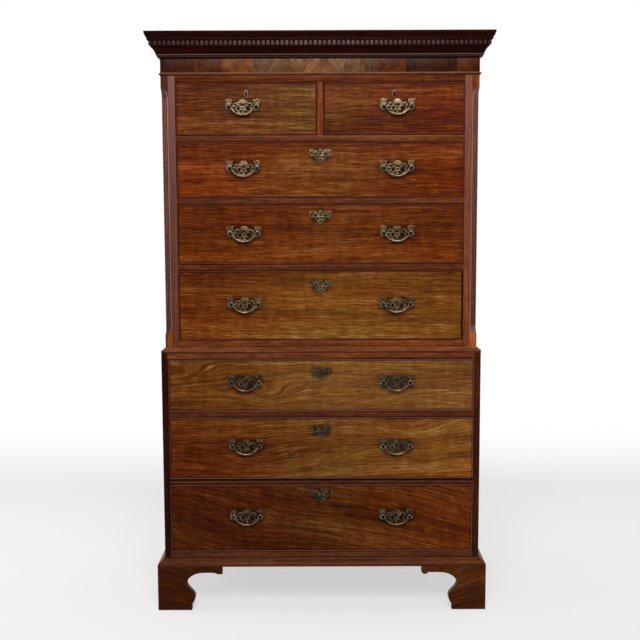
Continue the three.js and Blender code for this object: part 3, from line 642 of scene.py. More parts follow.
def post_heights():
    """The heights of the rings: close in the stops and at the round ends of the flutes."""
    near = np.linspace(0, 1, 22)
    bow = 1 - np.cos(near * np.pi / 2)
    runs = [[0.8622, 0.8626], CANT_LOW + bow * STOP,
            FLUTE_LOW - FLUTE_RADIUS + near * FLUTE_RADIUS,
            np.linspace(FLUTE_LOW + 2 * MM, FLUTE_HIGH - 2 * MM, 12),
            FLUTE_HIGH + near * FLUTE_RADIUS, CANT_HIGH - bow * STOP, [FRIEZE - 0.1 * MM]]
    return np.unique(np.round(np.concatenate(runs), 6))


def flute_depth(z):
    """Depth of the three flutes at each height and each place across the cant."""
    across = (np.linspace(0, 1, CANT_POINTS) - 0.5) * CANT * np.sqrt(2)
    beyond = np.maximum(0, np.maximum(FLUTE_LOW - z, z - FLUTE_HIGH))[:, None]
    depth = np.zeros((len(z), CANT_POINTS))
    for k in (-1, 0, 1):
        reach = FLUTE_RADIUS ** 2 - (across - k * FLUTE_PITCH)[None] ** 2 - beyond ** 2
        depth = np.maximum(depth, np.sqrt(np.maximum(reach, 0)))
    return depth


def post_plan(share, depth):
    """(x, y) at each height: the cant, CANT sqrt(1 - (1 - share)^2) wide, then the rest."""
    wide = CANT_LEAST + (CANT - CANT_LEAST) * np.sqrt(1 - (1 - share) ** 2)
    u = np.linspace(0, 1, CANT_POINTS)
    x = UPPER_HALF - wide[:, None] * (1 - u) - depth * np.sqrt(0.5)
    y = UPPER_FRONT + wide[:, None] * u + depth * np.sqrt(0.5)
    rest = np.empty((len(share), CORNER_MORE, 2))
    rest[:, :3] = [[UPPER_HALF, UPPER_FRONT + POST_DEEP], [UPPER_OPEN, UPPER_FRONT + POST_DEEP],
                   [UPPER_OPEN, UPPER_FRONT + 0.4 * MM]]
    rest[:, 3:6, 0] = UPPER_OPEN + np.array([0.4, 2.2, 3]) * MM
    rest[:, 6:9, 0] = UPPER_HALF - CANT - np.array([2.6, 2.2, 1.8]) * MM
    rest[:, 9:, 0] = UPPER_HALF - wide[:, None] - np.array([1.5, 0.9]) * MM
    rest[:, 3:, 1] = UPPER_FRONT
    return np.concatenate([np.stack([x, y], -1), rest], 1)


def post_tone(look, z, share, depth):
    """Tones from a table of looks, with painted light and shade: the flutes' hollows are painted
    dark as shade, the ridges, stile, edges and arris lines carry painted sheen and highlights, and
    towards the foot the light and sheen fade.
    """
    n = CANT_POINTS
    tone = np.empty((len(z), n + CORNER_MORE, 3))
    hollow = (depth / FLUTE_RADIUS)[..., None]
    fade = (0.55 + 0.45 * (z - 0.9) / 0.8)[:, None]
    tone[:, :n] = look["ridge"] * (1 - hollow) + look["flute"] * hollow
    tone[:, :n, ::2] *= fade[..., None]
    tone[:, n:n + 5] = look["edge"]
    tone[:, n + 5:n + 10] = look["stile"]
    tone[:, n + 10] = tone[:, 0] = look["line"]
    tone[:, n:, 2] *= fade ** 2
    block = look["top"] * (z > 1.3)[:, None] + look["foot"] * (z < 1.3)[:, None]
    in_stop, in_block = share < 1, share <= 0
    tone[in_stop, 1:n] = look["stop"]
    tone[in_stop, n + 7] = (0.3, 0.5, 0)
    tone[in_stop, n + 8:n + 10] = block[in_stop, None]
    tone[in_block, n + 10] = block[in_block]
    tone[in_block, :n] = block[in_block, None]
    return tone


def corner_post(side):
    """The post on one side. `share` is how far from a stop's end each height is, 0 to 1."""
    z = post_heights()
    share = np.clip(np.minimum(z - CANT_LOW, CANT_HIGH - z) / STOP, 0, 1)
    depth = flute_depth(z)
    plan = post_plan(share, depth)
    height = np.broadcast_to(z[:, None, None], (*plan.shape[:2], 1))
    rings = np.concatenate([plan, height], -1)
    rings[..., 0] *= side
    return loft(rings, grain=log_place(rings, 2),
                tone=post_tone(POST_LOOKS[side], z, share, depth))


print("rings in a corner post", len(post_heights()))


# %% Upper case
# Painted light on the posts: ridges, stiles, edges and lines hold painted sheen and highlights,
# and the flutes painted shade.
POST_LOOKS = {
    -1: {"ridge": (2.1, 0.6, 0.28), "flute": (0.5, 0.9, 0.04), "edge": (1.0, 0.5, 0.35),
         "stile": (1.1, 0.6, 0.28), "line": (1.8, 0.3, 0.9), "stop": (0.45, 0.6, 0.03),
         "top": (0.6, 0.7, 0.03), "foot": (2.4, -0.4, 0.0)},
    1: {"ridge": (1.8, 0.5, 0.3), "flute": (0.5, 0.8, 0.05), "edge": (1.2, 0.3, 0.35),
        "stile": (1.9, 0.3, 0.17), "line": (2.2, 0.1, 1.0), "stop": (1.2, 0.5, 0.3),
        "top": (2.1, 0.3, 0.0), "foot": (4.0, -0.5, 0.03)}}
for look in POST_LOOKS.values():
    look.update({key: np.array(value) for key, value in look.items()})
FACE_DEEP = 22 * MM
PARTITION = (OPEN["short_left"][1], OPEN["short_right"][0])
SHORT_FLOOR, SHORT_TOP = OPEN["short_left"][2:4]
upper_case = [corner_post(side) for side in (1, -1)]
upper_case += board_pair(UPPER_HALF - SIDE, UPPER_HALF, (UPPER_FRONT + POST_DEEP, BACK),
                         (UPPER_FLOOR, UPPER_TOP), along=2, tone=(0.85, 0.4, 0))
upper_case += rails(UPPER, 0.8625, SHORT_FLOOR, UPPER_OPEN, UPPER_FRONT,
                    lights=(1.7, 1.5, 1.5, 1.3))
upper_case += [
    board((-UPPER_OPEN, UPPER_OPEN), (UPPER_FRONT, UPPER_FRONT + FACE_DEEP),
          (SHORT_TOP, FRIEZE)),
    board(PARTITION, (UPPER_FRONT, UPPER_FRONT + RAIL_DEEP), (SHORT_FLOOR, SHORT_TOP),
          along=2, tone=(1.9, 0.5, 0)),
    board((MM - UPPER_HALF, UPPER_HALF - MM),
          (UPPER_FRONT + 1.2 * MM, UPPER_FRONT + FACE_DEEP), (FRIEZE, UPPER_TOP))]
upper_case += astragal
piece("upper_case", upper_case, MAHOGANY, "chest", ["upper_carcass"])
print("corner post", len(upper_case[0]["points"]), "points")

# %% [markdown]
# ## Inside the upper case
#
# The corner posts are thicker than the sides, so each drawer needs a guide beside it, level
# with its floor. Only an open drawer shows them, so plain boards are enough.

# %% Inside the upper case
INNER = UPPER_HALF - SIDE
GUIDE_FRONT = UPPER_FRONT + 40 * MM
upper_inside = dustboards(UPPER[1:] + ["short_left"], INNER, UPPER_FRONT - 15 * MM)
for name in UPPER + ["short_left"]:
    floor = OPEN[name][2]
    upper_inside += board_pair(UPPER_OPEN, INNER, (GUIDE_FRONT, BOARDS_FRONT),
                               (floor - 2 * MM, floor + 20 * MM), along=1)
upper_inside += [board((-INNER, INNER), (UPPER_FRONT + FACE_DEEP, BOARDS_FRONT), z)
                 for z in ((0.880, 0.898), (SHORT_TOP, SHORT_TOP + DUST_THICK),
                           (1.855, UPPER_TOP))]
upper_inside.append(board(PARTITION, (UPPER_FRONT + RAIL_DEEP, BOARDS_FRONT),
                          (SHORT_FLOOR, SHORT_TOP), along=1))
piece("upper_inside", upper_inside, PINE, "chest")
print("boards inside the upper case", len(upper_inside))

# %% [markdown]
# ## The frieze
#
# Under the cornice the case is faced with leaves of veneer laid side by side, cut near a
# fork of the tree, where the fibres feather out. Each leaf is a thin board whose place in
# the log is turned by its own angle, and each has its own tone.

# %% Frieze
LEAVES = [(-507.5, -460, 80, 0.25, 1.3), (-460, -397, 65, 0.45, 1.2),
          (-397, -309, 85, 0.55, 1.0), (-309, -213, 38, 1.2, 0.6), (-213, -95, 62, 1.1, -0.5),
          (-95, -51, 118, 1.3, -0.3), (-51, -2, 55, 1.5, -0.3), (-2, 76, 125, 1.35, -0.4),
          (76, 146, 84, 1.1, -0.3), (146, 184, 95, 0.6, 0.2), (184, 273, 48, 0.65, 1.0),
          (273, 435, 104, 0.25, 1.2), (435, 507.5, 30, 0.5, 1.1)]

LEAF_THICK, LEAF_TOP = 1.3 * MM, 1.803
JOINT = 0.05 * MM


def leaf(x, y, z, turn, light, red, across=0):
    """A leaf of veneer: grain = (a cos t + z sin t, z cos t - a sin t), a being x or y."""
    made = board(x, y, z, arris=0.15 * MM, tone=(light, red, 0))
    a, b = made["points"][:, across], made["points"][:, 2]
    t = np.radians(turn)
    made["grain"] = np.stack([a * np.cos(t) + b * np.sin(t), b * np.cos(t) - a * np.sin(t),
                              made["points"][:, 1 - across]], -1) + log_offset()
    return made


frieze = [leaf((a * MM + JOINT, b * MM - JOINT), (UPPER_FRONT, UPPER_FRONT + LEAF_THICK),
               (FRIEZE, LEAF_TOP), turn, light, red) for a, b, turn, light, red in LEAVES]
for side in (1, -1):
    for start, turn in ((-0.244, 70), (-0.11, 110), (0.02, 62), (0.155, 118)):
        frieze.append(leaf(span(UPPER_HALF - MM, UPPER_HALF + 0.2 * MM, side),
                           (start + JOINT, start + 0.1329), (FRIEZE, LEAF_TOP),
                           turn, 0.8, 0.3, across=1))
piece("frieze_veneers", frieze, VENEER, "chest")
print("leaves", len(frieze))

# %% [markdown]
# ## The cornice
#
# Two beads, a cove, a row of dentils under a corona, and a hollow with a fillet at the top.
# The long moulding is swept, and the dentils are small blocks set along it, all from one
# pitch, with a whole block at each corner.

# %% Cornice
cornice_shape = profile(
    (0.1, 1801.1), (4.4, 1801.1), arc((5.6, 1804.0), (3.2, 2.8), -80, 80, 8), (6.6, 1807.0),
    arc((9.0, 1809.9), (3.4, 2.8), -80, 80, 8), (11.8, 1812.9),
    smooth([(12.4, 1813.6), (14.2, 1817.6), (16.4, 1822.0), (19.4, 1827.0), (22.2, 1830.2),
            (24.6, 1831.6)], 4), (24.6, 1832.4),
    (26.0, 1832.4), (26.0, 1852.5), (36.1, 1852.5), (36.5, 1852.9), (36.5, 1859.2),
    smooth([(37.2, 1860.0), (39.4, 1862.6), (41.0, 1866.0), (42.4, 1869.8), (43.0, 1872.8)],
           3), (44.0, 1873.3), (44.0, 1878.6), (43.6, 1879.0), (0.1, 1879.0))
# Painted highlights on the crests of the two beads, a faint painted sheen on upward faces, and
# painted shade on the ground behind the dentils.
cornice_tone = np.tile((1.0, 0.2, 0.0), (len(cornice_shape), 1))
out, rise = cornice_shape.T / MM
cornice_tone[(rise > 1808.3) & (rise < 1811.8) & (out > 11), 2] = 0.22
cornice_tone[(rise > 1802.5) & (rise < 1805.2) & (out > 8), 2] = 0.08
cornice_tone[out == 26.0, 0] = 0.25
cornice = round_three_sides(cornice_shape, UPPER_HALF, UPPER_FRONT, tone=cornice_tone,
                            sheen=0.04)
piece("cornice_moulding", cornice, DARK, "chest", ["cornice"])
print("points in the cornice's profile", len(cornice_shape))

# %% Dentils
DENTIL_OUT, DENTIL_DEEP, DENTIL_TOP = 31 * MM, 8 * MM, 1.8532
DENTIL_PITCH, DENTIL_SHARE = 15 * MM, 0.64
DENTIL_ARRIS = 0.4 * MM


def dentils(length):
    """Starts and width of a row: (gaps + share) pitches = length, gaps = length / 15 mm."""
    gaps = round(length / DENTIL_PITCH)
    pitch = length / (gaps + DENTIL_SHARE)
    return np.arange(gaps + 1) * pitch, DENTIL_SHARE * pitch


reach = UPPER_HALF + DENTIL_OUT
front_row = UPPER_FRONT - DENTIL_OUT
blocks = []
starts, wide = dentils(2 * reach)
for x in starts - reach:
    drop = rng.uniform(0, 0.25) * MM
    # Painted highlight: towards the middle the teeth are less red and carry more pale sheen.
    glow = np.exp(-(x / 0.33) ** 2)
    tone = (1.75 * rng.uniform(0.8, 1.15), 0.5 - 0.5 * glow,
            (0.05 + 0.2 * glow) * rng.uniform(0.75, 1.25))
    blocks.append(board((x, x + wide), (front_row, front_row + DENTIL_DEEP),
                        (1.8365 + drop, DENTIL_TOP), along=2, arris=DENTIL_ARRIS, tone=tone))
starts, wide = dentils(BACK - front_row)
for y in starts[1:] + front_row:
    blocks += board_pair(reach - DENTIL_DEEP, reach, (y, min(y + wide, BACK)),
                         (1.838, DENTIL_TOP), along=2, arris=DENTIL_ARRIS,
                         tone=(2.2, 0.3, 0.15))
piece("dentils", blocks, DARK, "chest")
print("dentils", len(blocks))

# %% [markdown]
# ## Bracket feet
#
# Each foot is two shaped brackets that meet in a mitre, with a rough block glued inside. The
# outline is a spline through points. A filled curve could be given a thickness, but not a
# mitre, so the outline is carried through the thickness ring by ring. It is drawn in a little
# at both faces for the arris.

# %% Feet
BRACKET_THICK = 24 * MM
FIBRE_TURN = np.radians(20)


def inset(outline, distance):
    """The outline moved inwards: p - distance * n, n being the mean normal at p."""
    before, after = np.roll(outline, 1, 0), np.roll(outline, -1, 0)
    unit = [v / np.linalg.norm(v, axis=1)[:, None] for v in (outline - before, after - outline)]
    area = np.cross(before, outline).sum()
    normal = np.stack([unit[0][:, 1] + unit[1][:, 1], -unit[0][:, 0] - unit[1][:, 0]], -1)
    normal /= (1 + np.einsum("ij,ij->i", *unit))[:, None].clip(0.5)
    return outline - normal * distance * np.sign(area)


TOE = [(112, 0), (111.4, 12), (112.8, 20.5), (117.8, 27.5), (121.6, 36), (123.3, 44.5),
       (122.2, 53), (117.6, 60.5), (110.2, 68.5), (102.8, 77), (97.9, 85.5), (96.2, 94),
       (98.9, 102.5), (105.0, 110.6), (114.5, 117.8), (127, 123.4), (142, 126.6), (160, 127.6),
       (178, 127.4)]
CURL = arc((201.2, 133.6), 12.4, 205, 430, 16)
SQUARE = [(190, 126.2), (196, 123.6), (203, 122.6), (213.6, 122.4), (214, 122.8)]


def bracket(tip):
    """A bracket's outline from its outer edge at x = 0, with a curled or a square tip."""
    inner = smooth(TOE + [(189.0, 127.9)] if tip is CURL else TOE + SQUARE[:3])
    tail = CURL if tip is CURL else SQUARE[3:]
    top = (tail[-1][0], 148)
    return np.concatenate([[(0, 0)], inner, tail, [top, (0, 148)]]) * MM


REAR = np.concatenate([[(0, 0), (68, 0)], smooth([(68, 0.5), (84, 52), (128, 96), (171, 118)]),
                       [(171, 148), (0, 148)]]) * MM


def bracket_face(outline, place, tone):
    """Rings of the outline at four depths: x = max(x, depth) makes the mitre."""
    rings = []
    for depth, draw in ((0, 0.8 * MM), (0.8 * MM, 0), (BRACKET_THICK - MM, 0),
                        (BRACKET_THICK, 0.5 * MM)):
        shape = inset(outline, draw)
        shape[:, 0] = np.maximum(shape[:, 0], depth)
        rings.append(place(shape[:, 0], np.full(len(shape), depth), shape[:, 1]))
    rings = np.array(rings)
    flat, high = np.abs(rings[..., :2] - rings[0, 0, :2]).sum(-1), rings[..., 2]
    grain = np.stack([flat * np.cos(FIBRE_TURN) - high * np.sin(FIBRE_TURN),
                      flat * np.sin(FIBRE_TURN) + high * np.cos(FIBRE_TURN),
                      rings[..., 1]], -1) + log_offset()
    return loft(rings, grain=grain, tone=tone)


def foot(side, is_front):
    """A foot at a corner: one bracket along x and one along y, and the glue block."""
    x0, y0 = (LOWER_HALF + BASE_OUT) * side, LOWER_FRONT - BASE_OUT if is_front else BACK
    back = 1 if is_front else -1
    tip = SQUARE if is_front and side < 0 else CURL
    across = bracket(tip) if is_front else REAR

    def along_x(a, depth, z):
        return np.stack([x0 - side * a, y0 + back * depth, z], -1)

    def along_y(a, depth, z):
        return np.stack([x0 - side * depth, y0 + back * a, z], -1)

    block = board(span(LOWER_HALF - 48 * MM, LOWER_HALF - 1.6 * MM, side),
                  sorted((y0 + back * BRACKET_THICK, y0 + back * 70 * MM)), (0.004, 0.148),
                  along=2)
    tone = (0.62, 0.2, 0) if side < 0 else (0.9, -0.2, 0)
    faces = [bracket_face(across, along_x, tone), bracket_face(bracket(CURL), along_y, tone)]
    return faces, block


for is_front, end in ((True, "front"), (False, "rear")):
    for side, hand in ((-1, "left"), (1, "right")):
        faces, block = foot(side, is_front)
        piece(f"bracket_{end}_{hand}", faces, MAHOGANY, "chest", [f"foot_{end}_{hand}"])
        piece(f"glue_block_{end}_{hand}", [block], PINE, "chest")
print("points in a foot", sum(len(f["points"]) for f in faces))

# %% [markdown]
# ## Backboards
#
# The solids already have the right shape here: upright boards with a V where they meet. They
# keep their mesh and only get a rougher wood. A solid has no `grain` attribute, so this wood
# reads Object coordinates, with z along the fibres.

# %% Backboards
for node in ("upper_backboards", "lower_backboards"):
    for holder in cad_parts[node].material_slots:
        holder.material = BACK_PINE
    print(node, "wears", BACK_PINE.name)

# %% [markdown]
# ## Drawer fronts
#
# The figure of each front is drawn by bending its place in the log. The streaks follow the
# lines on which `across` stays the same, so adding a smooth hill to `across` gives an arch,
# or a closed oval where the hill is steeper than the front. A slope gives a diagonal figure.
# Each front was polished and faded in its own way, so tables give its light and its red.
# Most are lighter in the middle, partly from fading and partly as painted light that falls off
# towards their ends.
#
# The face has a keyhole in it. A Boolean would leave long thin faces round the hole, which
# shade badly. Instead both outlines are written as a distance r(t) from the key at the angle
# t, and the rings between them are key + (rect - key) * s. The first ring is the bottom of
# the keyhole.

# %% Figure
HILLS = {
    "lower_3": [(-0.54, 0.785, 0.2, 0.04, 0.07), (-0.17, 0.72, 0.08, 0.04, 0.045),
                (0.05, 0.70, 0.16, 0.03, 0.02)],
    "lower_2": [(-0.22, 0.50, 0.2, 0.05, 0.035), (0.3, 0.60, 0.12, 0.05, 0.03)],
    "lower_1": [(-0.3, 0.25, 0.22, 0.09, 0.05), (0.2, 0.36, 0.2, 0.06, -0.03)]}
SLOPES = {"lower_1": 0.22, "lower_2": -0.05, "upper_1": 0.02}
LIGHT = {"short_left": (0.92, 0.2, 0), "short_right": (0.75, -0.05, 0),
         "upper_3": (0.83, -0.02, 0.06), "upper_2": (0.93, -0.06, 0.14),
         "upper_1": (1.1, 0.11, 0.28), "lower_3": (1.2, 0.17, 0.29),
         "lower_2": (1.12, 0.34, 0.02), "lower_1": (0.68, 0.2, -0.06)}
RED = {"short_left": (-1.0, -1.6, 0), "short_right": (0.3, 0.8, 0),
       "upper_3": (1.1, 0.0, -0.8), "upper_2": (0.65, -0.05, -0.5),
       "upper_1": (0.0, -0.35, -0.65), "lower_3": (-0.65, -0.3, -0.35),
       "lower_2": (0.05, -0.6, -0.8), "lower_1": (0.75, -0.1, -0.4)}
BLOOM = {"lower_3": 0.035, "lower_2": 0.01}
SHIFTS = {name: log_offset() for name in DRAWERS}
HANDLE_X = 0.247
HANDLE_Z = {name: (OPEN[name][2] + OPEN[name][3]) / 2 + rise * MM
            for name, rise in zip(DRAWERS, (5, 5, 3, 1, 2, 8, 5, 4))}
KEY = {name: OPEN[name][3] - GAP - drop * MM
       for name, drop in zip(DRAWERS, (32, 32, 34, 30, 40, 35, 35, 26))}


def shade_and_grime(name, x, z):
    """The light left by painted shade and soiling: 1 - d exp(-u^4 - v^4) behind each plate and
    keyhole.

    u and v are the distances from its middle, in parts of how far the darkening reaches. The wood
    seen through the holes and round the edges is painted dark as shade, with some soiling. Under
    the bails a narrower band, exp(-u^4 - v^2), is the painted shadow of the bail.
    """
    level = HANDLE_Z[name]
    plate_x, plate_z = (np.abs(x) - HANDLE_X) / 0.056, (z - level - 0.0025) / 0.0245
    if name.startswith("short"):
        key_x, half_x, half_z, drop = (OPEN[name][0] + OPEN[name][1]) / 2, 0.0042, 0.01, 0.003
    else:
        key_x, half_x, half_z, drop = 0, 0.03, 0.02, 0.01
    # Painted shade in the plates' holes and round their edges, with some soiling.
    near = np.minimum(plate_x ** 4 + plate_z ** 4,
                      ((x - key_x) / half_x) ** 4 + ((z - KEY[name] + drop) / half_z) ** 4)
    # Painted shadow of each bail on the front below it.
    under = ((np.abs(x) - HANDLE_X) / 0.026) ** 4 + ((z - level + 0.0285) / 0.0055) ** 2
    return 1 - np.maximum(0.92 * np.exp(-near), 0.75 * np.exp(-under))


def figure(name, points):
    """grain and tone: across = z + slope x + sum of h exp(-(dx/a)^2 - (dz/b)^2).

    How light and how red a front is follows base + tilt x / 0.375 + glow exp(-(x/0.26)^2),
    the tilt stopping at 0.375 m. The glow of the light value, a lighter middle on most fronts, is
    partly faded veneer and partly painted light that falls off towards the ends. The third value
    grows from the left to the right.
    """
    x, y, z = np.moveaxis(points, -1, 0)
    across = z + SLOPES.get(name, 0) * x
    for x0, z0, wide, high, lift in HILLS.get(name, ()):
        across = across + lift * np.exp(-((x - x0) / wide) ** 2 - ((z - z0) / high) ** 2)
    grain = np.stack([x, across, y], -1) + SHIFTS[name]
    # Painted light and fading: most fronts are lighter in the middle, by the glow term.
    middle = np.exp(-(x / 0.26) ** 2)
    light, red = [base + tilt * np.clip(x / 0.375, -1, 1) + glow * middle
                  for base, tilt, glow in (LIGHT[name], RED[name])]
    bloom_and_sheen = BLOOM.get(name, 0) * np.clip(1 + x / 0.3, 0, 1.1)
    return grain, np.stack([light * shade_and_grime(name, x, z), red, bloom_and_sheen], -1)


print("light left behind a plate", np.round(shade_and_grime("lower_1", HANDLE_X, HANDLE_Z["lower_1"]), 2))

# %% Front boards
BEAD_SHADOW_AND_GRIME = np.array([7.5, 6, BEAD_WIDE / MM, 0]) * MM
KEYHOLE_RADIUS = 1.9 * MM


def ray_to_box(t, x0, x1, z0, z1):
    """Distance from the origin to a box along the angle t: min over sides of limit / cos."""
    c, s = np.cos(t), np.sin(t)
    side_x = np.where(c > 0, x1, x0) / np.where(np.abs(c) < 1e-9, 1e-9, c)
    side_z = np.where(s > 0, z1, z0) / np.where(np.abs(s) < 1e-9, 1e-9, s)
    return np.minimum(np.abs(side_x), np.abs(side_z))


def front_angles(box):
    """The angles of the rays: to evenly spaced places on the four sides, and round the key."""
    side_x, side_z = np.linspace(box[0], box[1], 150), np.linspace(box[2], box[3], 56)
    t = np.concatenate([
        np.arctan2(box[2], side_x), np.arctan2(box[3], side_x),
        np.arctan2(side_z, box[0]), np.arctan2(side_z, box[1]),
        np.linspace(-np.pi, np.pi, 40), -np.pi / 2 + np.array([-0.15, -0.149, 0.149, 0.15])])
    t = np.unique(np.round(t, 5))
    return t[np.concatenate([[True], np.diff(t) > 2e-4])]


def front_board(name):
    """Rings from the keyhole to the edges, then over the arris to the back of the board.

    The last rings lie at set distances from the edge, and the two by the bead are darkened:
    painted shadow of the bead, with some soiling.
    """
    x0, x1, z0, z1, front = OPEN[name]
    x0, x1, z0, z1 = x0 + GAP, x1 - GAP, z0 + GAP, z1 - GAP
    key_x, key_z = (x0 + x1) / 2, KEY[name]
    box = (x0 - key_x, x1 - key_x, z0 - key_z, z1 - key_z)
    t = front_angles(box)
    slot = ray_to_box(t, -1.2 * MM, 1.2 * MM, -8 * MM, 0.1 * MM) * (np.sin(t) < 0)
    hole = np.maximum(KEYHOLE_RADIUS, slot)
    limits = [ray_to_box(t, box[0] + d, box[1] - d, box[2] + d, box[3] - d)
              for d in BEAD_SHADOW_AND_GRIME]
    share = np.concatenate([[0], np.geomspace(0.004, 0.05, 8), np.linspace(0.065, 1, 72)])
    reach = np.concatenate([hole + (limits[0] - hole) * share[:, None], limits[1:]])
    inner = reach[..., None] * np.stack([np.cos(t), np.sin(t)], -1) + (key_x, key_z)
    rings = np.empty((len(reach) + 3, len(t), 3))
    rings[1:-2, :, 0], rings[1:-2, :, 2] = inner[..., 0], inner[..., 1]
    rings[0], rings[-2], rings[-1] = rings[1], rings[-3], rings[-3]
    rings[..., 1] = front
    rings[0, :, 1] = front + 14 * MM
    rings[-2, :, 1] = front + 2 * MM
    rings[-1, :, 1] = front + FRONT_THICK
    grain, tone = figure(name, rings)
    # Painted shadow beside the bead, with some soiling, deeper on the lower fronts.
    tone[-5:-3, :, 0] *= 0.42 if name.startswith("lower") else 0.8
    return loft(rings, grain=grain, tone=tone)


print("points in a front", len(front_board("lower_1")["points"]))

# %% [markdown]
# ## Cock beads
#
# A cock bead is a strip let into the edges of a drawer front, which stands 3 mm proud of it
# with a round crest. It guards the veneer, and it draws the fine line of light that frames
# each drawer. It is a moulding whose `up` points out of the front, so the runs above make it.

# %% Cock beads
bead_shape = profile((0, -15.9), (0, 1.2), arc((2.0, 1.2), (2.0, 1.8), 180, 0, 9), (4, -15.9))
INNER_SIDE, CREST, OUTER_SIDE = slice(0, 3), slice(4, 8), slice(9, None)
RIGHT, LEFT = 1, 3


def cock_beads(name):
    """Four half-round strips round a front, mitred at the corners.

    Their order is bottom, right, top, left. Each crest carries a painted highlight and its two
    sides painted shade. The left ones shine less, and on upper_1 the right one is painted dark as
    the shadow in the wide gap beside it.
    """
    x0, x1, z0, z1, front = OPEN[name]
    reach = GAP + BEAD_WIDE
    x0, x1, z0, z1 = x0 + reach, x1 - reach, z0 + reach, z1 - reach
    corners = [(x0, z0), (x1, z0), (x1, z1), (x0, z1)]
    outward = [(0, 0, -1), (1, 0, 0), (0, 0, 1), (-1, 0, 0)]
    # Painted highlight on each crest, and painted shade on each bead's two sides.
    light, bloom_and_sheen = (3.2, 0.26) if name.startswith("lower") else (2.9, 0.08)
    tone = np.tile((0.8, 0.6, 0.0), (4, len(bead_shape), 1))
    tone[:, CREST] = (light, 0.2, bloom_and_sheen)
    tone[LEFT, CREST, 2] *= 0.4
    # Painted shadow from the wide gap beside upper_1's right bead.
    if name == "upper_1":
        tone[RIGHT, CREST] = (0.5, 0.2, 0)
    tone[:, INNER_SIDE] = (0.35, 1.2, 0)
    tone[:, OUTER_SIDE] = (0.2, 1.0, 0)
    return [run(bead_shape, (a[0], front, a[1]), (b[0], front, b[1]), out, (0, -1, 0),
                mitres=(1, 1), tone=shades)
            for a, b, out, shades in zip(corners, corners[1:] + corners[:1], outward, tone)]


print("points in a bead's profile", len(bead_shape))

# %% [markdown]
# ## Drawer boxes
#
# The linings are thin oak: two sides, a back set lower than they are, and a bottom whose
# fibres run from side to side. The sides join the front with lapped dovetails, which show
# on the end of the front as pale tails when a drawer is open.

# %% Boxes
LINING = 9 * MM
LINING_ARRIS = 1.2 * MM
BOTTOM_UP, BOTTOM_THICK = 9 * MM, 6 * MM
TAIL_PITCH = 0.045


def drawer_box(name):
    """Sides, back and a bottom of two planks, inside the box of the solid."""
    low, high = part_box(f"drawer_box_{name}")
    z0, z1, front = OPEN[name][2:]
    y = (front + FRONT_THICK + 0.1 * MM, high.y)
    made = [board(x, y, (low.z, high.z), along=1, arris=LINING_ARRIS)
            for x in ((low.x, low.x + LINING), (high.x - LINING, high.x))]
    inside = (low.x + LINING - MM, high.x - LINING + MM)
    floor = z0 + BOTTOM_UP
    made.append(board(inside, (high.y - LINING, high.y), (floor, z1 - GAP - 12 * MM),
                      arris=LINING_ARRIS))
    middle = (y[0] + high.y) / 2
    for plank in ((y[0], middle - 0.1 * MM), (middle + 0.1 * MM, high.y)):
        made.append(board(inside, plank, (floor, floor + BOTTOM_THICK), arris=0.4 * MM))
    return made


def dovetails(name):
    """Tails on both ends of a front: quads in y and z, wider towards the front."""
    x0, x1, z0, z1, front = OPEN[name]
    count = max(3, round((z1 - z0) / TAIL_PITCH))
    pitch = (z1 - z0 - 2 * GAP - 2 * BEAD_WIDE) / count
    y = front + np.array([6 * MM, 6 * MM, FRONT_THICK, FRONT_THICK])
    spread = np.array([-0.4, 0.4, 0.27, -0.27]) * pitch
    ends = ((x0 + GAP - 0.05 * MM, x0 + GAP + MM), (x1 - GAP + 0.05 * MM, x1 - GAP - MM))
    made = []
    for k in range(count):
        z = z0 + GAP + BEAD_WIDE + (k + 0.5) * pitch
        for x in ends:
            shell = np.empty((2, 4, 3))
            shell[..., 0], shell[..., 1], shell[..., 2] = np.array(x)[:, None], y, z + spread
            made.append(loft(shell, grain=log_place(shell, 0)))
    return made


for name in DRAWERS:
    body = f"drawer_{name}"
    piece(f"front_{name}", [front_board(name)], FRONT_WOOD, body, [f"drawer_front_{name}"])
    piece(f"beads_{name}", cock_beads(name), BEAD_WOOD, body)
    piece(f"linings_{name}", drawer_box(name), OAK, body, [f"drawer_box_{name}"])
    tails = dovetails(name)
    piece(f"dovetails_{name}", tails, OAK, body)
    print(name, "has", len(tails), "tails")

# %% [markdown]
# ## Brasses
#
# The pierced plates are cast and filed flat. An image with holes in it would look pierced
# from the front only, so the holes are real. The outlines are half outlines, smoothed by the
# same spline, mirrored, and filled between with the holes left open. The posts are turned,
# and the bail is a rod along a line whose radius swells towards the middle.

# %% Metal
POST_AT = 88.9 / 2
POST_SHADE_NEAR, POST_SHADE_FAR = 4.8 * MM, 6.2 * MM


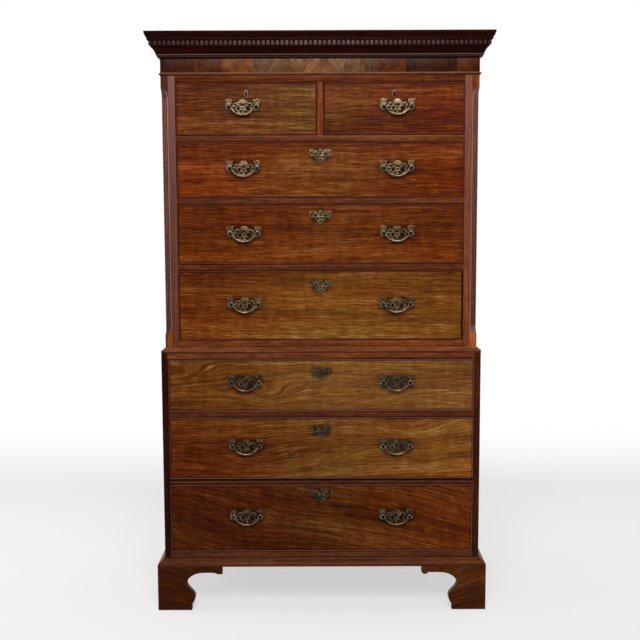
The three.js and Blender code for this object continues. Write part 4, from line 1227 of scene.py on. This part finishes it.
def metal(name, dull, bright, patina, roughness, post_shade=0.0):
    """Brass: dull and brighter in clouds of noise, with patches of patina.

    The place is the handle's own, so painted shade can darken the posts' heads, which lie in the
    shadow under the bail's neck: it is thick where the length of (|x| - POST_AT, z) is under
    4.8 mm, and gone at 6.2 mm.
    """
    n = Nodes(name)
    place = n.attribute("grain")
    seed = n.parts(n.attribute("tone"))
    moved = n.vector("ADD", place, n.join(seed[1], seed[2], seed[1]))
    cloud = n.noise(moved, 90, detail=4.0)
    speck = n.noise(moved, 700, detail=3.0)
    colour = n.mix(n.between(cloud, 0.35, 0.65), hexed(dull), hexed(bright))
    colour = n.mix(n.between(n.noise(moved, 45, detail=3.0), 0.5, 0.64), colour,
                   hexed(patina))
    # Painted shade round each post, where the bail's neck shadows its head.
    if post_shade:
        axes = n.parts(place)
        out = n.math("SUBTRACT", n.math("ABSOLUTE", axes[0]), POST_AT * MM)
        far = n.add("ShaderNodeVectorMath", {0: n.join(out, 0.0, axes[2])},
                    operation="LENGTH").outputs["Value"]
        colour = n.mix(n.between(far, POST_SHADE_NEAR, POST_SHADE_FAR, post_shade, 0.0), colour,
                       hexed("#0f0905"))
    colour = n.scaled(colour, seed[0])
    rough = n.between(cloud, 0.3, 0.7, roughness + 0.12, roughness - 0.05)
    return n.finish(colour, rough, n.math("ADD", cloud, n.math("MULTIPLY", speck, 0.3)), 0.35,
                    0.4 * MM, Metallic=0.7)


BRASS = metal("old brass", "#43341f", "#947b54", "#4c4128", 0.34, post_shade=0.95)
RUBBED = metal("rubbed brass", "#786049", "#b39a80", "#6b5a46", 0.27)
DARK_BRASS = metal("bronzed brass", "#170f08", "#7a6040", "#2b2614", 0.33, post_shade=0.95)
DARK_RUBBED = metal("rubbed bronze", "#655039", "#b4967a", "#5c4c38", 0.26)
IRON = metal("lock iron", "#2d2a27", "#57514b", "#3a2a20", 0.5)
print("metals", [m.name for m in (BRASS, RUBBED, DARK_BRASS, DARK_RUBBED, IRON)])


# %% Pierced shapes
def smooth_loop(points, steps):
    """The same spline through a closed run of points."""
    p = np.asarray(points, float)
    ring = np.concatenate([p[-1:], p, p[:2]])
    return smooth(ring, steps)[steps:-steps - 1]


def mirrored(half):
    """A whole outline from its right half, whose first and last points are on x = 0."""
    half = np.asarray(half, float)
    return np.concatenate([half, half[-2:0:-1] * (-1, 1)])


def fretted(outline, holes, thick, edge):
    """Points and faces of a flat plate with holes, its edges rounded, facing -y, in metres.

    A filled curve does it: z of the curve becomes -y, and y becomes z.
    """
    curve = bpy.data.curves.new("plate", "CURVE")
    curve.dimensions = "2D"
    curve.fill_mode = "BOTH"
    curve.extrude = thick / 2 - edge
    curve.bevel_depth = edge
    curve.bevel_resolution = 2
    curve.offset = -edge
    for loop in [outline, *holes]:
        spline = curve.splines.new("POLY")
        spline.points.add(len(loop) - 1)
        flat = np.concatenate([loop, np.zeros((len(loop), 1)), np.ones((len(loop), 1))], 1)
        spline.points.foreach_set("co", flat.astype(np.float32).ravel())
        spline.use_cyclic_u = True
    holder = bpy.data.objects.new("plate", curve)
    mesh = bpy.data.meshes.new_from_object(holder)
    work = bmesh.new()
    work.from_mesh(mesh)
    bmesh.ops.remove_doubles(work, verts=work.verts, dist=1e-3)
    bmesh.ops.recalc_face_normals(work, faces=work.faces)
    work.to_mesh(mesh)
    work.free()
    flat = np.array([v.co for v in mesh.vertices])
    points = np.stack([flat[:, 0], -flat[:, 2] - thick / 2, flat[:, 1]], -1) * MM
    polygons = [list(p.vertices) for p in mesh.polygons]
    sizes = sorted({len(p) for p in polygons})
    faces = [np.array([p for p in polygons if len(p) == size]) for size in sizes]
    bpy.data.objects.remove(holder)
    bpy.data.curves.remove(curve)
    bpy.data.meshes.remove(mesh)
    return points, faces


def oval(x, z, half_x, half_z, turn=0):
    """centre + turned (half_x cos t, half_z sin t)."""
    t = np.linspace(0, 2 * np.pi, 20, endpoint=False)
    a, b = half_x * np.cos(t), half_z * np.sin(t)
    c, s = np.cos(np.radians(turn)), np.sin(np.radians(turn))
    return np.stack([x + a * c - b * s, z + a * s + b * c], -1)


def oval_pairs(*ovals):
    """Each oval of (x, z, half_x, half_z, turn), and its mirror image."""
    return [oval(side * x, z, a, b, side * turn)
            for x, z, a, b, turn in ovals for side in (1, -1)]


print("points in an oval", len(oval(0, 0, 1, 1)))


# %% Plates, escutcheons and rings
plate_outline = smooth_loop(mirrored([
    (0, 25.6), (8, 24.4), (13.6, 19.5), (16.2, 14.8), (20.5, 16.4), (26.2, 15.2), (30.8, 11.8),
    (34.4, 13.6), (33.4, 19.8), (34.4, 25.2), (38.2, 25.4), (40.8, 24.2), (43.4, 27.4),
    (46.8, 27.6), (49.4, 24.4), (52.6, 26.6), (56.2, 24.8), (56.4, 19.8), (53.8, 14.6),
    (55.0, 9.4), (55.8, 2.5), (54.4, -4.4), (51.6, -8.4),
    (48.4, -10.6), (43.5, -10.6), (39.0, -8.2), (35.0, -8.6), (29.0, -12.4), (21.0, -17.6),
    (12.5, -20.2), (6.0, -20.9), (0, -21.0)]), 5)
crescent = smooth_loop([(30.5, -8.6), (27.5, -6.6), (22.0, -9.6), (17.0, -14.0), (14.6, -17.2),
                        (17.6, -17.4), (23.0, -14.6), (28.0, -11.2)], 4)
chevron = smooth_loop(mirrored([(0, 11.2), (3.8, 9.4), (6.6, 4.6), (5.4, 1.8), (2.8, 3.6),
                                (0, 5.4)]), 3)
plate_holes = [crescent, crescent * (-1, 1), chevron, oval(0, -2.6, 2.2, 3.6), *oval_pairs(
    (11.8, 11.4, 2.3, 1.9, 0), (22.4, 7.4, 4.7, 3.2, 8), (13.5, -3.5, 3.9, 6.7, 6),
    (34.4, 8.4, 2.8, 3.8, 0), (6.4, -13.4, 3.5, 4.2, 12), (26.6, -2.4, 3.8, 3.2, -22))]
PLATE = fretted(plate_outline, plate_holes, 2.1, 0.35)

key_outline = smooth_loop(mirrored([
    (0, 10.6), (4.4, 10.0), (8.1, 6.9), (10.5, 3.5), (13.4, 7.3), (16.7, 9.0), (19.6, 7.1),
    (21.5, 5.2), (23.0, 8.6), (24.6, 10.9), (27.0, 8.0), (31.6, 9.0), (35.2, 5.4),
    (37.2, -1.9), (36.8, -7.2), (33.1, -10.8), (28.3, -10.8), (24.5, -13.0), (20.4, -12.2),
    (17.8, -14.6), (17.3, -18.8), (14.4, -21.6), (11.2, -21.6), (10.6, -25.4), (7.9, -28.2),
    (4.7, -28.6), (2.9, -32.6), (0, -35.2)]), 5)
keyhole = np.concatenate([[(-1.2, -8), (1.2, -8)], arc((0, 0), 1.9, -51, 231, 16)])
key_holes = [keyhole, oval(0, -24.4, 4.2, 2.8), oval(0, -14.6, 2.2, 2.6), *oval_pairs(
    (29.3, -2.2, 2.6, 5.2, 12), (16.2, -6.2, 3.6, 4.3, 0), (9.9, -16.2, 3.6, 3.4, 0),
    (5.7, 3.4, 1.8, 2.2, 0), (24.0, -7.6, 2.3, 1.9, -20), (22.6, -0.4, 1.5, 1.8, 0))]
ESCUTCHEON = fretted(key_outline, key_holes, 2.1, 0.3)
ring_outline = smooth_loop(mirrored([
    (0, 8.0), (3.9, 7.0), (6.0, 3.9), (6.1, -1.5), (6.2, -8.5), (5.8, -12.9), (3.4, -15.6),
    (0, -16.4)]), 4)
ring_hole = smooth_loop(mirrored([
    (0, 5.2), (1.9, 4.5), (2.8, 2.0), (2.1, -1.0), (2.3, -6.5), (2.8, -11.0), (1.5, -13.1),
    (0, -13.5)]), 4)
KEY_RING = fretted(ring_outline, [ring_hole], 0.9, 0.2)
print("plate", len(PLATE[0]), "escutcheon", len(ESCUTCHEON[0]), "points")

# %% [markdown]
# ## Posts and bails
#
# A post is turned on a lathe, with a ball at its head that holds the bail's pin, and stands
# in a rim that hands have rubbed bright. The bail is half a line, mirrored. Its bow is one
# cubic curve, p = (1-t)^3 a + 3t(1-t)^2 b + 3t^2(1-t) c + t^3 d, which hangs flat in the
# middle. A Curve object with a round bevel could be the rod, but numpy gives its swell too.

# %% Posts and bails
def lathe(rows, steps=24, closed=False):
    """A turned shape about the y axis: (r cos t, -h, r sin t) for each (r, h), millimetres."""
    r, h = np.array(rows, float).T
    t = np.linspace(0, 2 * np.pi, steps, endpoint=False)
    rings = np.stack([r[:, None] * np.cos(t), -np.broadcast_to(h[:, None], (len(r), steps)),
                      r[:, None] * np.sin(t)], -1) * MM
    made = loft(rings, closed)
    return made["points"], made["faces"]


ball = arc((0, 14.5), (4.2, 4.2), -58, 62, 12)
POST = lathe([(5.4, 1.0), (5.5, 2.6), (4.9, 3.2), (3.9, 3.4), (3.8, 4.1), (2.9, 4.7),
              (2.3, 6.2), (2.2, 8.0), (2.7, 9.6), *ball.tolist(), (1.2, 18.9), (0.4, 19.0)])
RIM = lathe(arc((6.9, 2.0), (1.9, 1.8), 0, 330, 12), steps=36, closed=True)


def bail_line():
    """Half a bail: pin, swan neck over the post's head, and the bow down to the middle."""
    post, reach = POST_AT, 6.9
    pin = np.array([(post + 1.4, 0), (post + 3.2, 0.0), (post + reach - 1.6, 0.1),
                    (post + reach - 0.3, 0.9), (post + reach, 2.6)])
    neck = arc((post, 2.6), reach, 12, 180, 12)
    t = np.linspace(0, 1, 22)[1:, None]
    corner = np.array([(post - reach, 2.6), (post - reach, -8.2), (20.0, -23.3), (0, -23.3)])
    bow = ((1 - t) ** 3 * corner[0] + 3 * t * (1 - t) ** 2 * corner[1]
           + 3 * t ** 2 * (1 - t) * corner[2] + t ** 3 * corner[3])
    return np.concatenate([pin, neck, bow])


def rod(line, radius):
    """A round rod along a flat line: p + r (cos t normal + sin t y)."""
    along = np.gradient(line, axis=0)
    along /= np.linalg.norm(along, axis=1)[:, None]
    t = np.linspace(0, 2 * np.pi, 16, endpoint=False)
    across = radius[:, None] * np.cos(t)
    x = line[:, :1] - along[:, 1:] * across
    z = line[:, 1:] + along[:, :1] * across
    y = np.broadcast_to(radius[:, None] * np.sin(t), x.shape)
    made = loft(np.stack([x, y, z], -1) * MM)
    return made["points"], made["faces"]


half_line = bail_line()
line = np.concatenate([half_line, half_line[-2::-1] * (-1, 1)])
swell = np.clip(1 - np.abs(line[:, 0]) / 37.5, 0, 1)
thick = 1.75 + 0.75 * swell ** 0.8
thick[:2] = thick[-2:] = 1.35
BAIL = rod(line, thick)
print("points in a bail", len(BAIL[0]))


# %% Brasses in their places
SEAT = 0.1 * MM
BAIL_OUT = 14.5 * MM
NUT_HALF = 4.5 * MM


def placed(shape, at, light=1.0):
    """A shape's points moved to a place.

    Its grain is its own place, and two values of its tone differ from handle to handle.
    """
    points, faces = shape
    return part(points + np.array(at), faces, grain=points,
                tone=(light, at[0] * 7 % 3, at[2] * 11 % 3))


def on_posts(shape, at):
    """A shape at both posts of a handle, its grain the place on the whole handle."""
    points, faces = shape
    return [placed((points + (side * POST_AT * MM, 0, 0), faces), at) for side in (-1, 1)]


def lock_and_nuts(name, handles):
    """The lock's plate behind the front, and a nut behind each post."""
    x0, x1, z0, z1, front = OPEN[name]
    middle, inner, level = (x0 + x1) / 2, front + FRONT_THICK, HANDLE_Z[name]
    made = [board((middle - 29 * MM, middle + 29 * MM), (inner - 6 * MM, inner + 0.6 * MM),
                  (KEY[name] - 18 * MM, z1 - GAP - 2 * MM), arris=0.4 * MM)]
    for x in handles:
        made += [board((x + k * POST_AT * MM - NUT_HALF, x + k * POST_AT * MM + NUT_HALF),
                       (inner - MM, inner + 3.2 * MM), (level - NUT_HALF, level + NUT_HALF),
                       arris=0.6 * MM) for k in (-1, 1)]
    return made


for name in DRAWERS:
    x0, x1, z0, z1, front = OPEN[name]
    body = f"drawer_{name}"
    if name.startswith("lower"):
        material, rubbed, slot = DARK_BRASS, DARK_RUBBED, "dark_brass"
    else:
        material, rubbed, slot = BRASS, RUBBED, "brass"
    if name.startswith("short"):
        handles = {"": -HANDLE_X if x1 < 0 else HANDLE_X}
    else:
        handles = {"_left": -HANDLE_X, "_right": HANDLE_X}
    face = front - SEAT
    for hand, x in handles.items():
        label, at = f"{name}{hand}", (x, face, HANDLE_Z[name])
        piece(f"plate_{label}", [placed(PLATE, at)] + on_posts(POST, at), material, body,
              [f"backplate_{label}"])
        piece(f"rose_{label}", on_posts(RIM, at), rubbed, body)
        piece(f"swan_neck_{label}", [placed(BAIL, (x, face - BAIL_OUT, HANDLE_Z[name]))],
              rubbed, f"bail_{label}", [f"bail_{label}"])
    piece(f"lock_and_nuts_{name}", lock_and_nuts(name, handles.values()), IRON, body)
    key = ((x0 + x1) / 2, face, KEY[name])
    if name.startswith("short"):
        piece(f"key_ring_{name}", [placed(KEY_RING, key, light=0.4)], rubbed, body)
    else:
        piece(f"key_plate_{name}", [placed(ESCUTCHEON, key)], material, body,
              [f"escutcheon_{name}"])
    print(name, "has its key at", np.round(key, 4).tolist())

# %% [markdown]
# ## Floor, light and camera
#
# The floor sweeps up behind the chest without a corner, so that no line shows between floor
# and wall. A large soft lamp above the camera does most of the work, and two tall ones at
# the sides give the canted corners their sheen. The room behind the camera is rather dark,
# so the polish reflects no pale haze.
#
# The backdrop has two materials in one. To the camera and to mirrors it glows white far from
# the chest, and near it the floor keeps its shadow. To all other light it is mid grey, so
# that it doesn't brighten the chest from below.

# %% Stage
HALF_WIDE = 9.0
FLOOR_END, BEND_RADIUS, WALL_TOP = 2.2, 2.0, 9.0
bend = np.linspace(0, np.pi / 2, 60)
flat = np.linspace(-7.0, FLOOR_END - 0.1, 92)
sweep = np.concatenate([
    np.stack([flat, 0 * flat], -1),
    np.stack([FLOOR_END + BEND_RADIUS * np.sin(bend), BEND_RADIUS * (1 - np.cos(bend))], -1),
    [(FLOOR_END + BEND_RADIUS, 2.1), (FLOOR_END + BEND_RADIUS, WALL_TOP)]])
grid = np.stack([np.stack([np.full(len(sweep), x), *sweep.T], -1)
                 for x in (-HALF_WIDE, HALF_WIDE)])
backdrop_mesh = bpy.data.meshes.new("backdrop")
backdrop_mesh.from_pydata(grid.reshape(-1, 3).tolist(), [],
                          band(2, len(sweep))[:-1].tolist())
backdrop_mesh.shade_smooth()
backdrop = bpy.data.objects.new("backdrop", backdrop_mesh)
bpy.context.scene.collection.objects.link(backdrop)
print("rows in the backdrop", len(sweep))

# %% Paper
paper = Nodes("paper")
place = paper.add("ShaderNodeTexCoord").outputs["Object"]
fibre = paper.noise(place, 60, detail=2.0)
path = paper.add("ShaderNodeLightPath").outputs
seen = path["Is Camera Ray"]
for kind in ("Is Glossy Ray", "Is Transmission Ray"):
    seen = paper.math("MAXIMUM", seen, path[kind])
far = paper.add("ShaderNodeMapRange",
                {"Value": paper.parts(place)[1], "From Min": -0.4, "From Max": 2.6},
                interpolation_type="SMOOTHSTEP").outputs["Result"]
white = paper.math("MULTIPLY", seen, paper.math("MAXIMUM", far, 0.58))
paper.finish(paper.mix(seen, hexed("#8a8a8a"), hexed("#f6f6f6")), 0.9, fibre, 0.05,
             Specular_IOR_Level=0.1)
glow = paper.add("ShaderNodeEmission").outputs[0]
joined = paper.add("ShaderNodeMixShader", {0: white, 1: paper.shader.outputs[0], 2: glow})
paper.put(paper.tree.nodes["Material Output"].inputs["Surface"], joined.outputs[0])
backdrop_mesh.materials.append(paper.material)
backdrop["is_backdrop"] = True
print("backdrop wears", paper.material.name)


# %% Lamps
def lamp(name, place, aim, size, power, colour=(1, 1, 1)):
    """A rectangular lamp at a place, turned so that it looks at the aim."""
    light = bpy.data.lights.new(name, "AREA")
    light.shape = "RECTANGLE"
    light.size, light.size_y = size
    light.energy = power
    light.color = colour
    made = bpy.data.objects.new(name, light)
    made.location = place
    made.rotation_euler = (Vector(aim) - Vector(place)).to_track_quat("-Z", "Y").to_euler()
    bpy.context.scene.collection.objects.link(made)
    return made


lamp("key", (0.0, -3.4, 3.3), (0, 0, 0.9), (2.2, 1.8), 122)
lamp("left strip", (-3.0, 0.1, 1.3), (-0.4, -0.2, 1.2), (0.9, 2.6), 40, (1.0, 0.88, 0.9))
lamp("right strip", (3.0, 0.1, 1.3), (0.4, -0.2, 1.2), (0.7, 2.6), 16)
lamp("backdrop", (0.0, 1.6, 5.2), (0, 3.0, 0.4), (6.0, 1.2), 60)
world = bpy.data.worlds.new("studio")
world.use_nodes = True
background = world.node_tree.nodes["Background"]
background.inputs["Color"].default_value = (1, 1, 1, 1)
background.inputs["Strength"].default_value = 0.14
bpy.context.scene.world = world
print("lamps", len(bpy.data.lights))

# %% [markdown]
# ## Camera
#
# The camera stands 1.3 m up, about as high as an eye, and looks down by 6 degrees. It was
# fitted to the rows and widths of the outline, so the lens and the place are odd numbers.

# %% Camera
TILT_DOWN, ROLL = 6.10, 0.2
lens = bpy.data.cameras.new("camera")
lens.sensor_width = 36
lens.lens = 57.54
lens.shift_x = -0.00078
camera = bpy.data.objects.new("camera", lens)
camera.location = (0, -3.557, 1.3185)
camera.rotation_euler = (np.radians(90 - TILT_DOWN), np.radians(ROLL), 0)
bpy.context.scene.collection.objects.link(camera)
bpy.context.scene.camera = camera
bpy.context.scene.view_settings.view_transform = "Standard"
print("camera", tuple(camera.location))

# %% [markdown]
# ## Size
#
# Last, the box round everything is measured against the box of the solids, and the differences are
# printed in millimetres. The dressed chest must stay inside it.

# %% Size
full_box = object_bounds()
for low_cad, low_all in zip(cad_box, full_box):
    print("difference in mm", [round((b - a) * 1000, 2) for a, b in zip(low_cad, low_all)])
